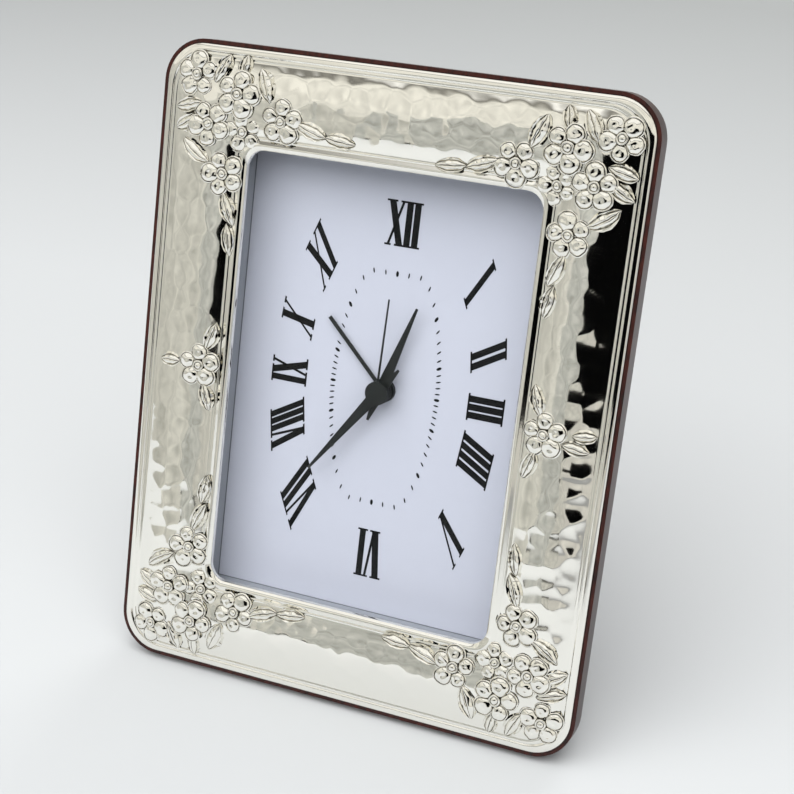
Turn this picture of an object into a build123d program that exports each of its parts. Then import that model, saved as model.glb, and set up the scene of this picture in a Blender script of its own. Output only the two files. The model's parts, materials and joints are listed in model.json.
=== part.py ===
from build123d import *
from math import cos, radians, sin
import os

# A photo frame clock: an embossed silver border over a dark wood frame, a glazed
# dial with a quartz alarm movement behind it, and a folding strut at the back.
# Units are millimetres. The clock leans back on its strut, so most pieces are drawn
# on a tilted face plane: u runs right, v runs up the face and n comes out of it.

os.makedirs("parts", exist_ok=True)

# Pose of the standing clock
LEAN = 17.0
DEPTH_SHIFT = -5.809
SIN_LEAN = sin(radians(LEAN))
COS_LEAN = cos(radians(LEAN))

# Silver border
BORDER_WIDTH = 140.0
BORDER_HEIGHT = 180.0
BORDER_CORNER = 11.0
WINDOW_WIDTH = 86.0
WINDOW_HEIGHT = 126.0
WINDOW_CORNER = 5.0
BORDER_BAND = (BORDER_WIDTH - WINDOW_WIDTH) / 2
BORDER_TOP = 5.0
BORDER_SEAT = -1.0

# Border section from the outer bead over the field to the inner beads, as distance in
# from the outer edge and height over the rim plane, then the filler that backs it
BORDER_SECTION = [
    (0.0, 0.3), (1.1, 1.3), (2.4, 0.3), (3.5, 1.2), (4.7, 0.4),
    (9.5, 2.2), (16.5, 2.4), (21.5, 0.9), (22.9, 2.0), (24.4, 0.7), (25.5, 1.1), (27.0, 0.0),
]
FILLER_SECTION = [(0.6, -0.3), (5.5, -0.3), (10.0, 1.6), (16.5, 1.6), (22.0, 0.0), (26.4, -0.4)]

# Embossed blossoms and leaves of one corner, as distances in from the side edge and
# from the top edge, then size and turn in degrees
BLOSSOMS = [
    (10.0, 9.6, 6.0, 20), (22.5, 13.4, 5.6, 5), (14.0, 22.3, 5.6, 50),
    (24.2, 23.4, 5.2, 30), (35.6, 19.6, 5.6, 15), (19.3, 35.6, 5.6, 40),
]
LEAVES = [
    (29.9, 10.4, 7.6, 55), (6.8, 20.4, 7.6, 105), (10.2, 30.0, 8.0, 65), (23.4, 5.8, 7.6, 10),
    (45.4, 21.2, 8.6, 10), (53.0, 21.6, 6.6, -10), (21.0, 45.4, 8.6, 95), (21.2, 52.4, 6.6, 80),
]
SIDE_BLOSSOM = (17.6, 5.8, 20)
SIDE_LEAVES = [(9.6, 7.0, 7.0, 120), (18.6, 10.6, 8.6, 88)]
# Outline of one petal and of a leaf, as swing in degrees and share of the reach
PETAL = [(-36, 0.6), (-17, 1.0), (17, 1.0)]
ALMOND = [(0, 1.0), (90, 0.42), (180, 1.0), (270, 0.42)]
BOSS_ROOT = 0.6
BLOSSOM_TOP = 3.4
BLOSSOM_TAPER = 0.72
LEAF_TOP_SHARE = 0.55
LEAF_TOP = 2.8

# Wooden frame body
BODY_OVERHANG = 1.1
BODY_BACK = -16.5
BODY_ROUND = 11.0
# Turns of the rounded back edge, with one where it meets the table
ROUND_TURNS = (0.0, LEAN, 42.0, 66.0, 90.0)
BODY_WIDTH = BORDER_WIDTH + 2 * BODY_OVERHANG
BODY_HEIGHT = BORDER_HEIGHT + 2 * BODY_OVERHANG
BODY_CORNER = BORDER_CORNER + BODY_OVERHANG
OPENING_WIDTH = 95.6
OPENING_HEIGHT = 135.2
REBATE_EDGE = 2.8
REBATE_FLOOR = -13.4

# Glass, spacer and dial stacked in the opening
STACK_PLAY = 0.3
GLASS_BACK = -3.4
SPACER_BACK = -12.5
SPACER_WALL = 1.1
DIAL_HOLE = 3.4

# Turn buttons that hold the back board, with their screws
BUTTON_AT = (55.4, 38.0)
BUTTON_LENGTH = 14.0
BUTTON_WIDTH = 6.0
BUTTON_THICK = 1.2
BUTTON_GAP = 0.1
SCREW_SHANK = 1.1
SCREW_REACH = 5.8
SCREW_HOLE = 6.0
SCREW_HEAD = 2.2
SCREW_HEAD_RISE = 0.9
SCREW_SEAT = BODY_BACK - 2 * BUTTON_GAP - BUTTON_THICK

# Quartz alarm movement, placed about the hand axis
CASE_WIDTH = 56.0
CASE_LOW = -20.0
CASE_HIGH = 36.0
CASE_HEIGHT = CASE_HIGH - CASE_LOW
CASE_MIDDLE = (CASE_LOW + CASE_HIGH) / 2
CASE_FRONT = -14.0
CASE_SPLIT = -15.2
CASE_BACK = -30.2
CASE_WALL = 1.2
CASE_FLOOR = CASE_BACK + CASE_WALL
CASE_CORNER = 2.0
PAD_MARGIN = 2.0
BAY_LOW = 20.0

# Rounds are drawn with few flat sides, inside the circle on a shaft and outside it on
# a bore, so that each pair keeps its running clearance
CORNER_FLATS = 6
ROUND_SIDES = 16
WIDE_SIDES = 24
RUN = 0.05

# Hand axis: nested arbors and tubes, as inner and outer radius
SECOND_ARBOR = 0.5
MINUTE_TUBE = (0.55, 1.1)
HOUR_TUBE = (1.15, 1.8)
ALARM_TUBE = (1.85, 2.5)
BUSH = (2.55, 3.2)
BUSH_TIP = -12.0

# Hands: levels over the dial, lengths and the angles shown, clockwise from twelve
ALARM_LEVEL = -11.6
HOUR_LEVEL = -9.4
MINUTE_LEVEL = -7.9
SECOND_LEVEL = -6.6
HAND_THICK = 0.35
HAND_HUB = 3.4
ALARM_ANGLE = 314.5
HOUR_ANGLE = 18.0
MINUTE_ANGLE = 216.0
SECOND_ANGLE = 1.5
HOUR_LENGTH = 26.5
MINUTE_LENGTH = 32.0
SECOND_LENGTH = 27.0
ALARM_LENGTH = 26.0
# Widths at the root and at the tip
BATON = (3.5, 0.7)
ALARM_BATON = (1.1, 1.1)
SECOND_BATON = (0.6, 0.4)
HAND_TAIL = 9.2
SHORT_TAIL = 2.0

# Wheel train: tooth counts and modules
WHEEL_THICK = 0.8
PINION_LENGTH = 1.5
STUD = 0.5
STUD_RISE = 0.3
SECONDS_TEETH, SECONDS_LEAVES = 30, 6
THIRD_TEETH, THIRD_LEAVES = 60, 6
CENTRE_TEETH = 36
STEP_TEETH, STEP_LEAVES = 36, 6
ROTOR_LEAVES = 6
CANNON_LEAVES, MINUTE_TEETH, MINUTE_LEAVES, HOUR_TEETH = 8, 24, 8, 32
SETTING_TEETH = 12
ALARM_TEETH, ALARM_LEAVES = 30, 20
TOOTH_TIP = 0.8
TOOTH_ROOT = 1.2
# Distances between the wheel axes, with the modules that follow from them
THIRD_DISTANCE = 12.24
STEP_DISTANCE = 8.64
ROTOR_DISTANCE = 8.4
MINUTE_DISTANCE = 9.0
ALARM_DISTANCE = 13.2
THIRD_MODULE = 2 * THIRD_DISTANCE / (THIRD_TEETH + SECONDS_LEAVES)
CENTRE_MODULE = 2 * THIRD_DISTANCE / (CENTRE_TEETH + THIRD_LEAVES)
SECONDS_MODULE = 2 * STEP_DISTANCE / (SECONDS_TEETH + STEP_LEAVES)
ROTOR_MODULE = 2 * ROTOR_DISTANCE / (STEP_TEETH + ROTOR_LEAVES)
CANNON_MODULE = 2 * MINUTE_DISTANCE / (CANNON_LEAVES + MINUTE_TEETH)
HOUR_MODULE = 2 * MINUTE_DISTANCE / (MINUTE_LEAVES + HOUR_TEETH)
ALARM_MODULE = 2 * ALARM_DISTANCE / (ALARM_TEETH + ALARM_LEAVES)
SETTING_DISTANCE = CANNON_MODULE * (MINUTE_TEETH + SETTING_TEETH) / 2

# Directions between the wheel axes, counter-clockwise from u
THIRD_WAY = 20.0
STEP_WAY = 180.0
ROTOR_WAY = 120.0
MINUTE_WAY = -50.0
SETTING_WAY = -20.0
ALARM_WAY = 250.0

# Levels of the wheels inside the case, each the back face of the piece
ALARM_WHEEL = -16.6
HOUR_WHEEL = -18.1
CANNON = -20.0
MINUTE_WHEEL = -19.5
CENTRE_WHEEL = -21.5
THIRD_WHEEL = -23.0
SECONDS_WHEEL = -24.3
STEP_WHEEL = -25.6
THIRD_STUD_TOP = -20.5
STEP_STUD_TOP = -23.1
ROTOR_STUD_TOP = -20.9
ARBOR_BOSS = 1.6
ARBOR_BOSS_RISE = 1.2
ARBOR_END = CASE_FLOOR + 0.2

# Motor: the rotor's magnet, the stator plate round it and the coil on its limb
ROTOR_PINION = -25.8
ROTOR_NECK = 0.85
MAGNET_RADIUS = 2.6
MAGNET_SPAN = (-23.4, -21.2)
STATOR_BACK = -22.7
STATOR_THICK = 0.8
STATOR_HOLE = 3.0
STATOR_PLATE = 9.6
STATOR_RISE = 0.5
STATOR_EDGE = 8.4
STATOR_LIMB = 2.6
STATOR_TAIL = 2.0
COIL_U = -22.0
COIL_RADIUS = 3.2
COIL_SPAN = (-13.0, 1.0)

# Circuit, sounder and power
BOARD_AT = (-14.6, -13.6)
BOARD_SIZE = (14.0, 9.6)
BOARD_BACK = -27.2
BOARD_THICK = 0.8
CRYSTAL_RADIUS = 1.0
CRYSTAL_LENGTH = 6.0
CRYSTAL_AT = (-18.0, -16.6, BOARD_BACK + BOARD_THICK + CRYSTAL_RADIUS)
SOUNDER_AT = (18.4, 8.6)
SOUNDER_RADIUS = 7.2
SOUNDER_HOLE = 1.2
SOUNDER_THICK = 1.8
# Posts in the case, as place and height, under the circuit board and the stator plate
POST_SIDE = 1.6
POSTS = [
    (-9.0, -10.4, BOARD_BACK), (-20.4, -17.2, BOARD_BACK),
    (-24.6, 10.6, STATOR_BACK), (-17.4, 11.2, STATOR_BACK),
]
BATTERY_RADIUS = 7.1
BATTERY_LENGTH = 49.0
BATTERY_V = 27.6
BATTERY_N = -22.5
BATTERY_NUB = 2.7
BATTERY_NUB_RISE = 1.2
CONTACT_SIDE = 9.0
CONTACT_THICK = 0.5
BAY_HALF = CASE_WIDTH / 2 - CASE_WALL
BATTERY_PLUS = BAY_HALF - CONTACT_THICK - BATTERY_NUB_RISE
BATTERY_MINUS = BATTERY_PLUS - BATTERY_LENGTH

# Knobs and switch at the back of the case
KNOB_RADIUS = 4.6
KNOB_TIP = -34.4
KNOB_STEM = 0.9
KNOB_GAP = 0.4
KNOB_SIDES = 12
SWITCH_AT = (-16.0, -14.4)
SWITCH_STEM = (3.4, 2.6)
SWITCH_TRAVEL = 4.0
SWITCH_PLAY = 0.2
SWITCH_CAP = (4.6, 5.0)
SWITCH_CAP_RISE = 2.0

# Folding strut and its hinge
HINGE_V = -32.0
HINGE_N = -18.6
STRUT_ANGLE = 24.0
STRUT_TOP = 20.0
STRUT_FOOT = 36.0
STRUT_THICK = 3.0
STRUT_START = 2.2
STRUT_OVERRUN = 3.0
STRUT_LEAF = 12.0
KNUCKLE = 1.7
KNUCKLE_PLAY = 0.2
KNUCKLE_HALF = 3.8
PIN = 0.9
PIN_END = 0.4
HINGE_HALF = 10.0
LEAF_THICK = 0.8
LEAF_RISE = 11.0
LEAF_NECK = 2.2
LEAF_LAP = 0.1

# Height of the face's centre over the table, from the rounded lower edge it stands on
ROUND_V = -BODY_HEIGHT / 2 + BODY_ROUND
ROUND_N = BODY_BACK + BODY_ROUND
LIFT = BODY_ROUND - ROUND_V * COS_LEAN - ROUND_N * SIN_LEAN
UP_THE_FACE = (0, SIN_LEAN, COS_LEAN)
OUT_OF_FACE = (0, -COS_LEAN, SIN_LEAN)


def face_point(u, v, n):
    """World position of a point given on the leaning face."""
    return (u, DEPTH_SHIFT + v * SIN_LEAN - n * COS_LEAN, LIFT + v * COS_LEAN + n * SIN_LEAN)


def face_plane(n, u=0.0, v=0.0):
    """Plane parallel to the leaning face, at height n over its rim."""
    return Plane(origin=face_point(u, v, n), x_dir=(1, 0, 0), z_dir=OUT_OF_FACE)


def cross_plane(u, v, n):
    """Plane square to u, with its own x axis up the face."""
    return Plane(origin=face_point(u, v, n), x_dir=UP_THE_FACE, z_dir=(1, 0, 0))


def step_from(start, way, distance):
    """Point at a distance from a start, along a direction in degrees."""
    return (start[0] + distance * cos(radians(way)), start[1] + distance * sin(radians(way)))


def shaft(radius, sides=ROUND_SIDES):
    """Outline of a rod or disc in the open sketch."""
    RegularPolygon(radius, sides)


def bore(radius, sides=ROUND_SIDES, mode=Mode.SUBTRACT):
    """Outline of a round hole in the open sketch."""
    RegularPolygon(radius, sides, major_radius=False, mode=mode)


def save(piece, name):
    """Label a finished piece and write it to its own file."""
    piece.part.label = name
    export_step(piece.part, f"parts/{name}.step")


# Border and filler

def rounded_ring(n, width, height, corner, v=0.0):
    """Rectangle on the face whose corners are rounded with a few flats."""
    outline = []
    for quarter, (side, end) in enumerate(((1, 1), (-1, 1), (-1, -1), (1, -1))):
        centre = (side * (width / 2 - corner), end * (height / 2 - corner))
        for flat in range(CORNER_FLATS + 1):
            outline.append(step_from(centre, 90 * (quarter + flat / CORNER_FLATS), corner))
    with BuildSketch(face_plane(n, 0, v)) as ring:
        with BuildLine():
            Polyline(*outline, close=True)
        make_face()
    return ring.sketch


def border_ring(inset, n):
    """Outline of the border at an inset from the silver's outer edge."""
    corner = BORDER_CORNER + inset / BORDER_BAND * (WINDOW_CORNER - BORDER_CORNER)
    return rounded_ring(n, BORDER_WIDTH - 2 * inset, BORDER_HEIGHT - 2 * inset, corner)


def bordered_block(section):
    """Block raised and sunk along a border section, with its window cut out."""
    first_inset, first_n = section[0]
    extrude(border_ring(first_inset, BORDER_SEAT), amount=first_n - BORDER_SEAT)
    for (inset_a, n_a), (inset_b, n_b) in zip(section, section[1:]):
        if n_a == n_b:
            continue
        loft(
            [border_ring(inset_a, n_a), border_ring(inset_b, n_b)],
            ruled=True,
            mode=Mode.ADD if n_b > n_a else Mode.SUBTRACT,
        )
    extrude(border_ring(section[-1][0], BORDER_SEAT), amount=BORDER_TOP, mode=Mode.SUBTRACT)


def boss(u, v, outline, top, taper):
    """Raised form on the border that narrows towards its top."""
    sections = []
    for n, scale in ((BOSS_ROOT, 1.0), (top, taper)):
        with BuildSketch(face_plane(n, u, v)) as ring:
            with BuildLine():
                Polyline(*[step_from((0, 0), way, reach * scale) for way, reach in outline], close=True)
            make_face()
        sections.append(ring.sketch)
    loft(sections, ruled=True)


def blossom(u, v, size, turn):
    """Five-petalled boss."""
    petals = [(turn + 72 * petal + swing, size * reach) for petal in range(5) for swing, reach in PETAL]
    boss(u, v, petals, BLOSSOM_TOP, BLOSSOM_TAPER)


def leaf(u, v, length, turn):
    """Almond boss, lower than the blossoms."""
    almond = [(turn + swing, length / 2 * reach) for swing, reach in ALMOND]
    boss(u, v, almond, LEAF_TOP, LEAF_TOP_SHARE)


with BuildPart() as filler:
    bordered_block(FILLER_SECTION)
save(filler, "relief_filler")

# One corner's spray and one side's spray, mirrored to the others
with BuildPart() as corner_spray:
    for inset_u, inset_v, size, turn in BLOSSOMS:
        blossom(BORDER_WIDTH / 2 - inset_u, BORDER_HEIGHT / 2 - inset_v, size, turn)
    for inset_u, inset_v, length, turn in LEAVES:
        leaf(BORDER_WIDTH / 2 - inset_u, BORDER_HEIGHT / 2 - inset_v, length, -turn)

with BuildPart() as side_spray:
    inset_u, size, turn = SIDE_BLOSSOM
    blossom(BORDER_WIDTH / 2 - inset_u, 0, size, turn)
    for inset_u, v, length, turn in SIDE_LEAVES:
        leaf(BORDER_WIDTH / 2 - inset_u, v, length, -turn)
        leaf(BORDER_WIDTH / 2 - inset_u, -v, length, turn)

LEVEL = Plane(origin=face_point(0, 0, 0), z_dir=UP_THE_FACE)
sprays = [corner_spray.part, mirror(corner_spray.part, about=LEVEL), side_spray.part]
sprays += [mirror(spray, about=Plane.YZ) for spray in sprays]

with BuildPart() as silver:
    bordered_block(BORDER_SECTION)
    for spray in sprays:
        add(spray)
    add(filler.part, mode=Mode.SUBTRACT)
save(silver, "silver_front")

# Wooden body, glazing and back board

def body_ring(turn):
    """Outline of the body at a turn of its rounded back edge."""
    inset = BODY_ROUND * (1 - cos(radians(turn)))
    n = BODY_BACK + BODY_ROUND * (1 - sin(radians(turn)))
    return rounded_ring(n, BODY_WIDTH - 2 * inset, BODY_HEIGHT - 2 * inset, BODY_CORNER - inset)


with BuildPart() as body:
    extrude(body_ring(0), amount=BORDER_SEAT - BODY_BACK - BODY_ROUND)
    for turn, next_turn in zip(ROUND_TURNS, ROUND_TURNS[1:]):
        loft([body_ring(turn), body_ring(next_turn)], ruled=True)
    with BuildSketch(face_plane(BODY_BACK)):
        Rectangle(OPENING_WIDTH, OPENING_HEIGHT)
    extrude(amount=BORDER_SEAT - BODY_BACK, mode=Mode.SUBTRACT)
    with BuildSketch(face_plane(BODY_BACK)):
        Rectangle(OPENING_WIDTH + 2 * REBATE_EDGE, OPENING_HEIGHT + 2 * REBATE_EDGE)
    extrude(amount=REBATE_FLOOR - BODY_BACK, mode=Mode.SUBTRACT)
    with BuildSketch(face_plane(BODY_BACK)):
        with GridLocations(2 * BUTTON_AT[0], 2 * BUTTON_AT[1], 2, 2):
            bore(SCREW_SHANK, mode=Mode.ADD)
    extrude(amount=SCREW_HOLE, mode=Mode.SUBTRACT)
save(body, "frame_body")


def stacked_sheet(back, front, name, wall=0.0, hole=0.0):
    """Sheet that lies in the frame's opening, with a window or a shaft hole."""
    width = OPENING_WIDTH - 2 * STACK_PLAY
    height = OPENING_HEIGHT - 2 * STACK_PLAY
    with BuildPart() as sheet:
        with BuildSketch(face_plane(back)):
            Rectangle(width, height)
            if wall:
                Rectangle(width - 2 * wall, height - 2 * wall, mode=Mode.SUBTRACT)
            if hole:
                bore(hole)
        extrude(amount=front - back)
    save(sheet, name)


stacked_sheet(GLASS_BACK, BORDER_SEAT, "window_glass")
stacked_sheet(SPACER_BACK, GLASS_BACK, "spacer_frame", wall=SPACER_WALL)
stacked_sheet(REBATE_FLOOR, SPACER_BACK, "dial_plate", hole=DIAL_HOLE)

with BuildPart() as board:
    with BuildSketch(face_plane(BODY_BACK)):
        Rectangle(
            OPENING_WIDTH + 2 * REBATE_EDGE - 2 * STACK_PLAY,
            OPENING_HEIGHT + 2 * REBATE_EDGE - 2 * STACK_PLAY,
        )
        with Locations((0, CASE_MIDDLE)):
            Rectangle(CASE_WIDTH + 2 * STACK_PLAY, CASE_HEIGHT + 2 * STACK_PLAY, mode=Mode.SUBTRACT)
    extrude(amount=REBATE_FLOOR - BODY_BACK)
save(board, "back_board")

for index, (side, end) in enumerate(((-1, 1), (1, 1), (-1, -1), (1, -1)), start=1):
    pivot = (side * BUTTON_AT[0], end * BUTTON_AT[1])
    with BuildPart() as button:
        with BuildSketch(face_plane(BODY_BACK - BUTTON_GAP, *pivot)):
            with Locations((-side * BUTTON_LENGTH / 5, 0)):
                Rectangle(BUTTON_LENGTH - BUTTON_WIDTH, BUTTON_WIDTH)
                with GridLocations(BUTTON_LENGTH - BUTTON_WIDTH, 0, 2, 1):
                    shaft(BUTTON_WIDTH / 2)
            bore(SCREW_SHANK + RUN)
        extrude(amount=-BUTTON_THICK)
    save(button, f"turn_button_{index}")

with BuildPart() as button_screws:
    with BuildSketch(face_plane(SCREW_SEAT)):
        with GridLocations(2 * BUTTON_AT[0], 2 * BUTTON_AT[1], 2, 2):
            shaft(SCREW_SHANK)
    extrude(amount=BODY_BACK + SCREW_REACH - SCREW_SEAT)
    with BuildSketch(face_plane(SCREW_SEAT)):
        with GridLocations(2 * BUTTON_AT[0], 2 * BUTTON_AT[1], 2, 2):
            RegularPolygon(SCREW_HEAD, 8)
    extrude(amount=-SCREW_HEAD_RISE)
save(button_screws, "turn_button_screws")

# Movement case

CENTRE = (0, 0)
MINUTE_AXIS = step_from(CENTRE, MINUTE_WAY, MINUTE_DISTANCE)
SETTING_AXIS = step_from(MINUTE_AXIS, SETTING_WAY, SETTING_DISTANCE)
ALARM_AXIS = step_from(CENTRE, ALARM_WAY, ALARM_DISTANCE)
THIRD_AXIS = step_from(CENTRE, THIRD_WAY, THIRD_DISTANCE)
STEP_AXIS = step_from(CENTRE, STEP_WAY, STEP_DISTANCE)
ROTOR_AXIS = step_from(STEP_AXIS, ROTOR_WAY, ROTOR_DISTANCE)


def rod(axis, radius, back, front, hole=0.0):
    """Round rod or tube along a wheel axis."""
    with BuildSketch(face_plane(back, *axis)) as disc:
        shaft(radius)
        if hole:
            bore(hole)
    extrude(disc.sketch, amount=front - back)


def block(low, high, back, front, half_width, mode=Mode.ADD):
    """Rectangular block across the case, between two heights on the face."""
    with BuildSketch(face_plane(back, 0, (low + high) / 2)) as outline:
        Rectangle(2 * half_width, high - low)
    extrude(outline.sketch, amount=front - back, mode=mode)


def case_outline(n):
    """Outline of the movement's case at a height over the rim plane."""
    return rounded_ring(n, CASE_WIDTH, CASE_HEIGHT, CASE_CORNER, CASE_MIDDLE)


with BuildPart() as pad:
    with BuildSketch(face_plane(CASE_FRONT)):
        with Locations((0, CASE_MIDDLE)):
            Rectangle(CASE_WIDTH - 2 * PAD_MARGIN, CASE_HEIGHT - 2 * PAD_MARGIN)
        bore(DIAL_HOLE)
    extrude(amount=REBATE_FLOOR - CASE_FRONT)
save(pad, "adhesive_pad")

with BuildPart() as case_front:
    extrude(case_outline(CASE_SPLIT), amount=CASE_FRONT - CASE_SPLIT)
    rod(CENTRE, BUSH[1], CASE_FRONT, BUSH_TIP)
    with BuildSketch(face_plane(CASE_SPLIT)):
        bore(BUSH[0], mode=Mode.ADD)
    extrude(amount=BUSH_TIP - CASE_SPLIT, mode=Mode.SUBTRACT)
    rod(MINUTE_AXIS, STUD, MINUTE_WHEEL - STUD_RISE, CASE_SPLIT)
save(case_front, "movement_front")

with BuildPart() as case_back:
    extrude(case_outline(CASE_BACK), amount=CASE_SPLIT - CASE_BACK)
    block(CASE_LOW + CASE_WALL, BAY_LOW - CASE_WALL, CASE_FLOOR, CASE_SPLIT, BAY_HALF, Mode.SUBTRACT)
    block(BAY_LOW, CASE_HIGH - CASE_WALL, CASE_BACK, CASE_SPLIT, BAY_HALF, Mode.SUBTRACT)
    with BuildSketch(face_plane(CASE_BACK)):
        with Locations(SETTING_AXIS, ALARM_AXIS):
            bore(KNOB_STEM + RUN, mode=Mode.ADD)
        with Locations(SWITCH_AT):
            Rectangle(SWITCH_STEM[0] + SWITCH_TRAVEL + 2 * SWITCH_PLAY, SWITCH_STEM[1] + SWITCH_PLAY)
    extrude(amount=CASE_WALL, mode=Mode.SUBTRACT)
    for axis, top in (
        (THIRD_AXIS, THIRD_STUD_TOP), (STEP_AXIS, STEP_STUD_TOP), (ROTOR_AXIS, ROTOR_STUD_TOP),
    ):
        rod(axis, STUD, CASE_FLOOR, top)
    rod(CENTRE, ARBOR_BOSS, CASE_FLOOR, CASE_FLOOR + ARBOR_BOSS_RISE, hole=SECOND_ARBOR + RUN)
    for u, v, top in POSTS:
        with BuildSketch(face_plane(CASE_FLOOR, u, v)) as post:
            Rectangle(POST_SIDE, POST_SIDE)
        extrude(post.sketch, amount=top - CASE_FLOOR)
save(case_back, "movement_case")

# Wheel train


def toothed(axis, teeth, module, phase, back, thick, hole=0.0):
    """Wheel or pinion whose first tooth points along the phase angle."""
    pitch = 360 / teeth
    tip_radius = module * (teeth / 2 + TOOTH_TIP)
    root_radius = module * (teeth / 2 - TOOTH_ROOT)
    outline = [
        step_from(CENTRE, phase + pitch * (tooth + share), radius)
        for tooth in range(teeth)
        for radius, share in ((tip_radius, 0.0), (root_radius, 0.5))
    ]
    with BuildSketch(face_plane(back, *axis)) as wheel:
        with BuildLine():
            Polyline(*outline, close=True)
        make_face()
        if hole:
            bore(hole)
    extrude(wheel.sketch, amount=thick)


def meshed(phase, teeth, partner_teeth, way):
    """Phase of a partner wheel, lying along a direction, whose gap meets the wheel's tooth."""
    ahead = (way - phase) * teeth / 360
    return way + 180 - 360 / partner_teeth * (0.5 - ahead)


BORE = STUD + RUN
SECONDS_PHASE = 90 - SECOND_ANGLE
CENTRE_PHASE = 90 - MINUTE_ANGLE
HOUR_PHASE = 90 - HOUR_ANGLE
ALARM_PHASE = 90 - ALARM_ANGLE
THIRD_PHASE = meshed(SECONDS_PHASE, SECONDS_LEAVES, THIRD_TEETH, THIRD_WAY)
THIRD_LEAF_PHASE = meshed(CENTRE_PHASE, CENTRE_TEETH, THIRD_LEAVES, THIRD_WAY)
STEP_PHASE = meshed(SECONDS_PHASE, SECONDS_TEETH, STEP_LEAVES, STEP_WAY)
ROTOR_PHASE = meshed(STEP_PHASE, STEP_TEETH, ROTOR_LEAVES, ROTOR_WAY)
MINUTE_PHASE = meshed(CENTRE_PHASE, CANNON_LEAVES, MINUTE_TEETH, MINUTE_WAY)
MINUTE_LEAF_PHASE = meshed(HOUR_PHASE, HOUR_TEETH, MINUTE_LEAVES, MINUTE_WAY)
SETTING_PHASE = meshed(MINUTE_PHASE, MINUTE_TEETH, SETTING_TEETH, SETTING_WAY)
ALARM_LEAF_PHASE = meshed(ALARM_PHASE, ALARM_TEETH, ALARM_LEAVES, ALARM_WAY)

with BuildPart() as rotor:
    toothed(ROTOR_AXIS, ROTOR_LEAVES, ROTOR_MODULE, ROTOR_PHASE, ROTOR_PINION, PINION_LENGTH, BORE)
    rod(ROTOR_AXIS, ROTOR_NECK, ROTOR_PINION + PINION_LENGTH, MAGNET_SPAN[0], hole=BORE)
    rod(ROTOR_AXIS, MAGNET_RADIUS, *MAGNET_SPAN, hole=BORE)
save(rotor, "rotor")

with BuildPart() as step_wheel:
    toothed(STEP_AXIS, STEP_TEETH, ROTOR_MODULE, STEP_PHASE, STEP_WHEEL, WHEEL_THICK, BORE)
    toothed(STEP_AXIS, STEP_LEAVES, SECONDS_MODULE, STEP_PHASE, STEP_WHEEL + WHEEL_THICK, PINION_LENGTH, BORE)
save(step_wheel, "step_wheel")

with BuildPart() as seconds_wheel:
    toothed(CENTRE, SECONDS_TEETH, SECONDS_MODULE, SECONDS_PHASE, SECONDS_WHEEL, WHEEL_THICK)
    toothed(CENTRE, SECONDS_LEAVES, THIRD_MODULE, SECONDS_PHASE, SECONDS_WHEEL + WHEEL_THICK, PINION_LENGTH)
    rod(CENTRE, SECOND_ARBOR, ARBOR_END, SECOND_LEVEL)
save(seconds_wheel, "seconds_wheel")

with BuildPart() as third_wheel:
    toothed(THIRD_AXIS, THIRD_TEETH, THIRD_MODULE, THIRD_PHASE, THIRD_WHEEL, WHEEL_THICK, BORE)
    toothed(
        THIRD_AXIS, THIRD_LEAVES, CENTRE_MODULE, THIRD_LEAF_PHASE,
        THIRD_WHEEL + WHEEL_THICK, PINION_LENGTH, BORE,
    )
save(third_wheel, "third_wheel")

with BuildPart() as centre_wheel:
    toothed(CENTRE, CENTRE_TEETH, CENTRE_MODULE, CENTRE_PHASE, CENTRE_WHEEL, WHEEL_THICK, MINUTE_TUBE[1])
save(centre_wheel, "centre_wheel")

with BuildPart() as minute_tube:
    toothed(CENTRE, CANNON_LEAVES, CANNON_MODULE, CENTRE_PHASE, CANNON, PINION_LENGTH, MINUTE_TUBE[0])
    rod(CENTRE, MINUTE_TUBE[1], CENTRE_WHEEL, MINUTE_LEVEL, hole=MINUTE_TUBE[0])
save(minute_tube, "minute_tube")

with BuildPart() as minute_wheel:
    toothed(MINUTE_AXIS, MINUTE_TEETH, CANNON_MODULE, MINUTE_PHASE, MINUTE_WHEEL, WHEEL_THICK, BORE)
    toothed(
        MINUTE_AXIS, MINUTE_LEAVES, HOUR_MODULE, MINUTE_LEAF_PHASE,
        MINUTE_WHEEL + WHEEL_THICK, PINION_LENGTH, BORE,
    )
save(minute_wheel, "minute_wheel")

with BuildPart() as hour_wheel:
    toothed(CENTRE, HOUR_TEETH, HOUR_MODULE, HOUR_PHASE, HOUR_WHEEL, WHEEL_THICK, HOUR_TUBE[0])
    rod(CENTRE, HOUR_TUBE[1], HOUR_WHEEL + WHEEL_THICK, HOUR_LEVEL, hole=HOUR_TUBE[0])
save(hour_wheel, "hour_wheel")

with BuildPart() as alarm_wheel:
    toothed(CENTRE, ALARM_TEETH, ALARM_MODULE, ALARM_PHASE, ALARM_WHEEL, WHEEL_THICK, ALARM_TUBE[0])
    rod(CENTRE, ALARM_TUBE[1], ALARM_WHEEL + WHEEL_THICK, ALARM_LEVEL, hole=ALARM_TUBE[0])
save(alarm_wheel, "alarm_wheel")


def knob(axis, teeth, module, phase, gear_back, name):
    """Setting knob outside the case, with its stem and the pinion inside."""
    grip_front = CASE_BACK - KNOB_GAP
    with BuildPart() as piece:
        toothed(axis, teeth, module, phase, gear_back, WHEEL_THICK)
        rod(axis, KNOB_STEM, grip_front, gear_back)
        with BuildSketch(face_plane(KNOB_TIP, *axis)) as grip:
            RegularPolygon(KNOB_RADIUS, KNOB_SIDES)
        extrude(grip.sketch, amount=grip_front - KNOB_TIP)
    save(piece, name)


knob(SETTING_AXIS, SETTING_TEETH, CANNON_MODULE, SETTING_PHASE, MINUTE_WHEEL, "setting_knob")
knob(ALARM_AXIS, ALARM_LEAVES, ALARM_MODULE, ALARM_LEAF_PHASE, ALARM_WHEEL, "alarm_knob")

# Motor, circuit, sounder and power

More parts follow.
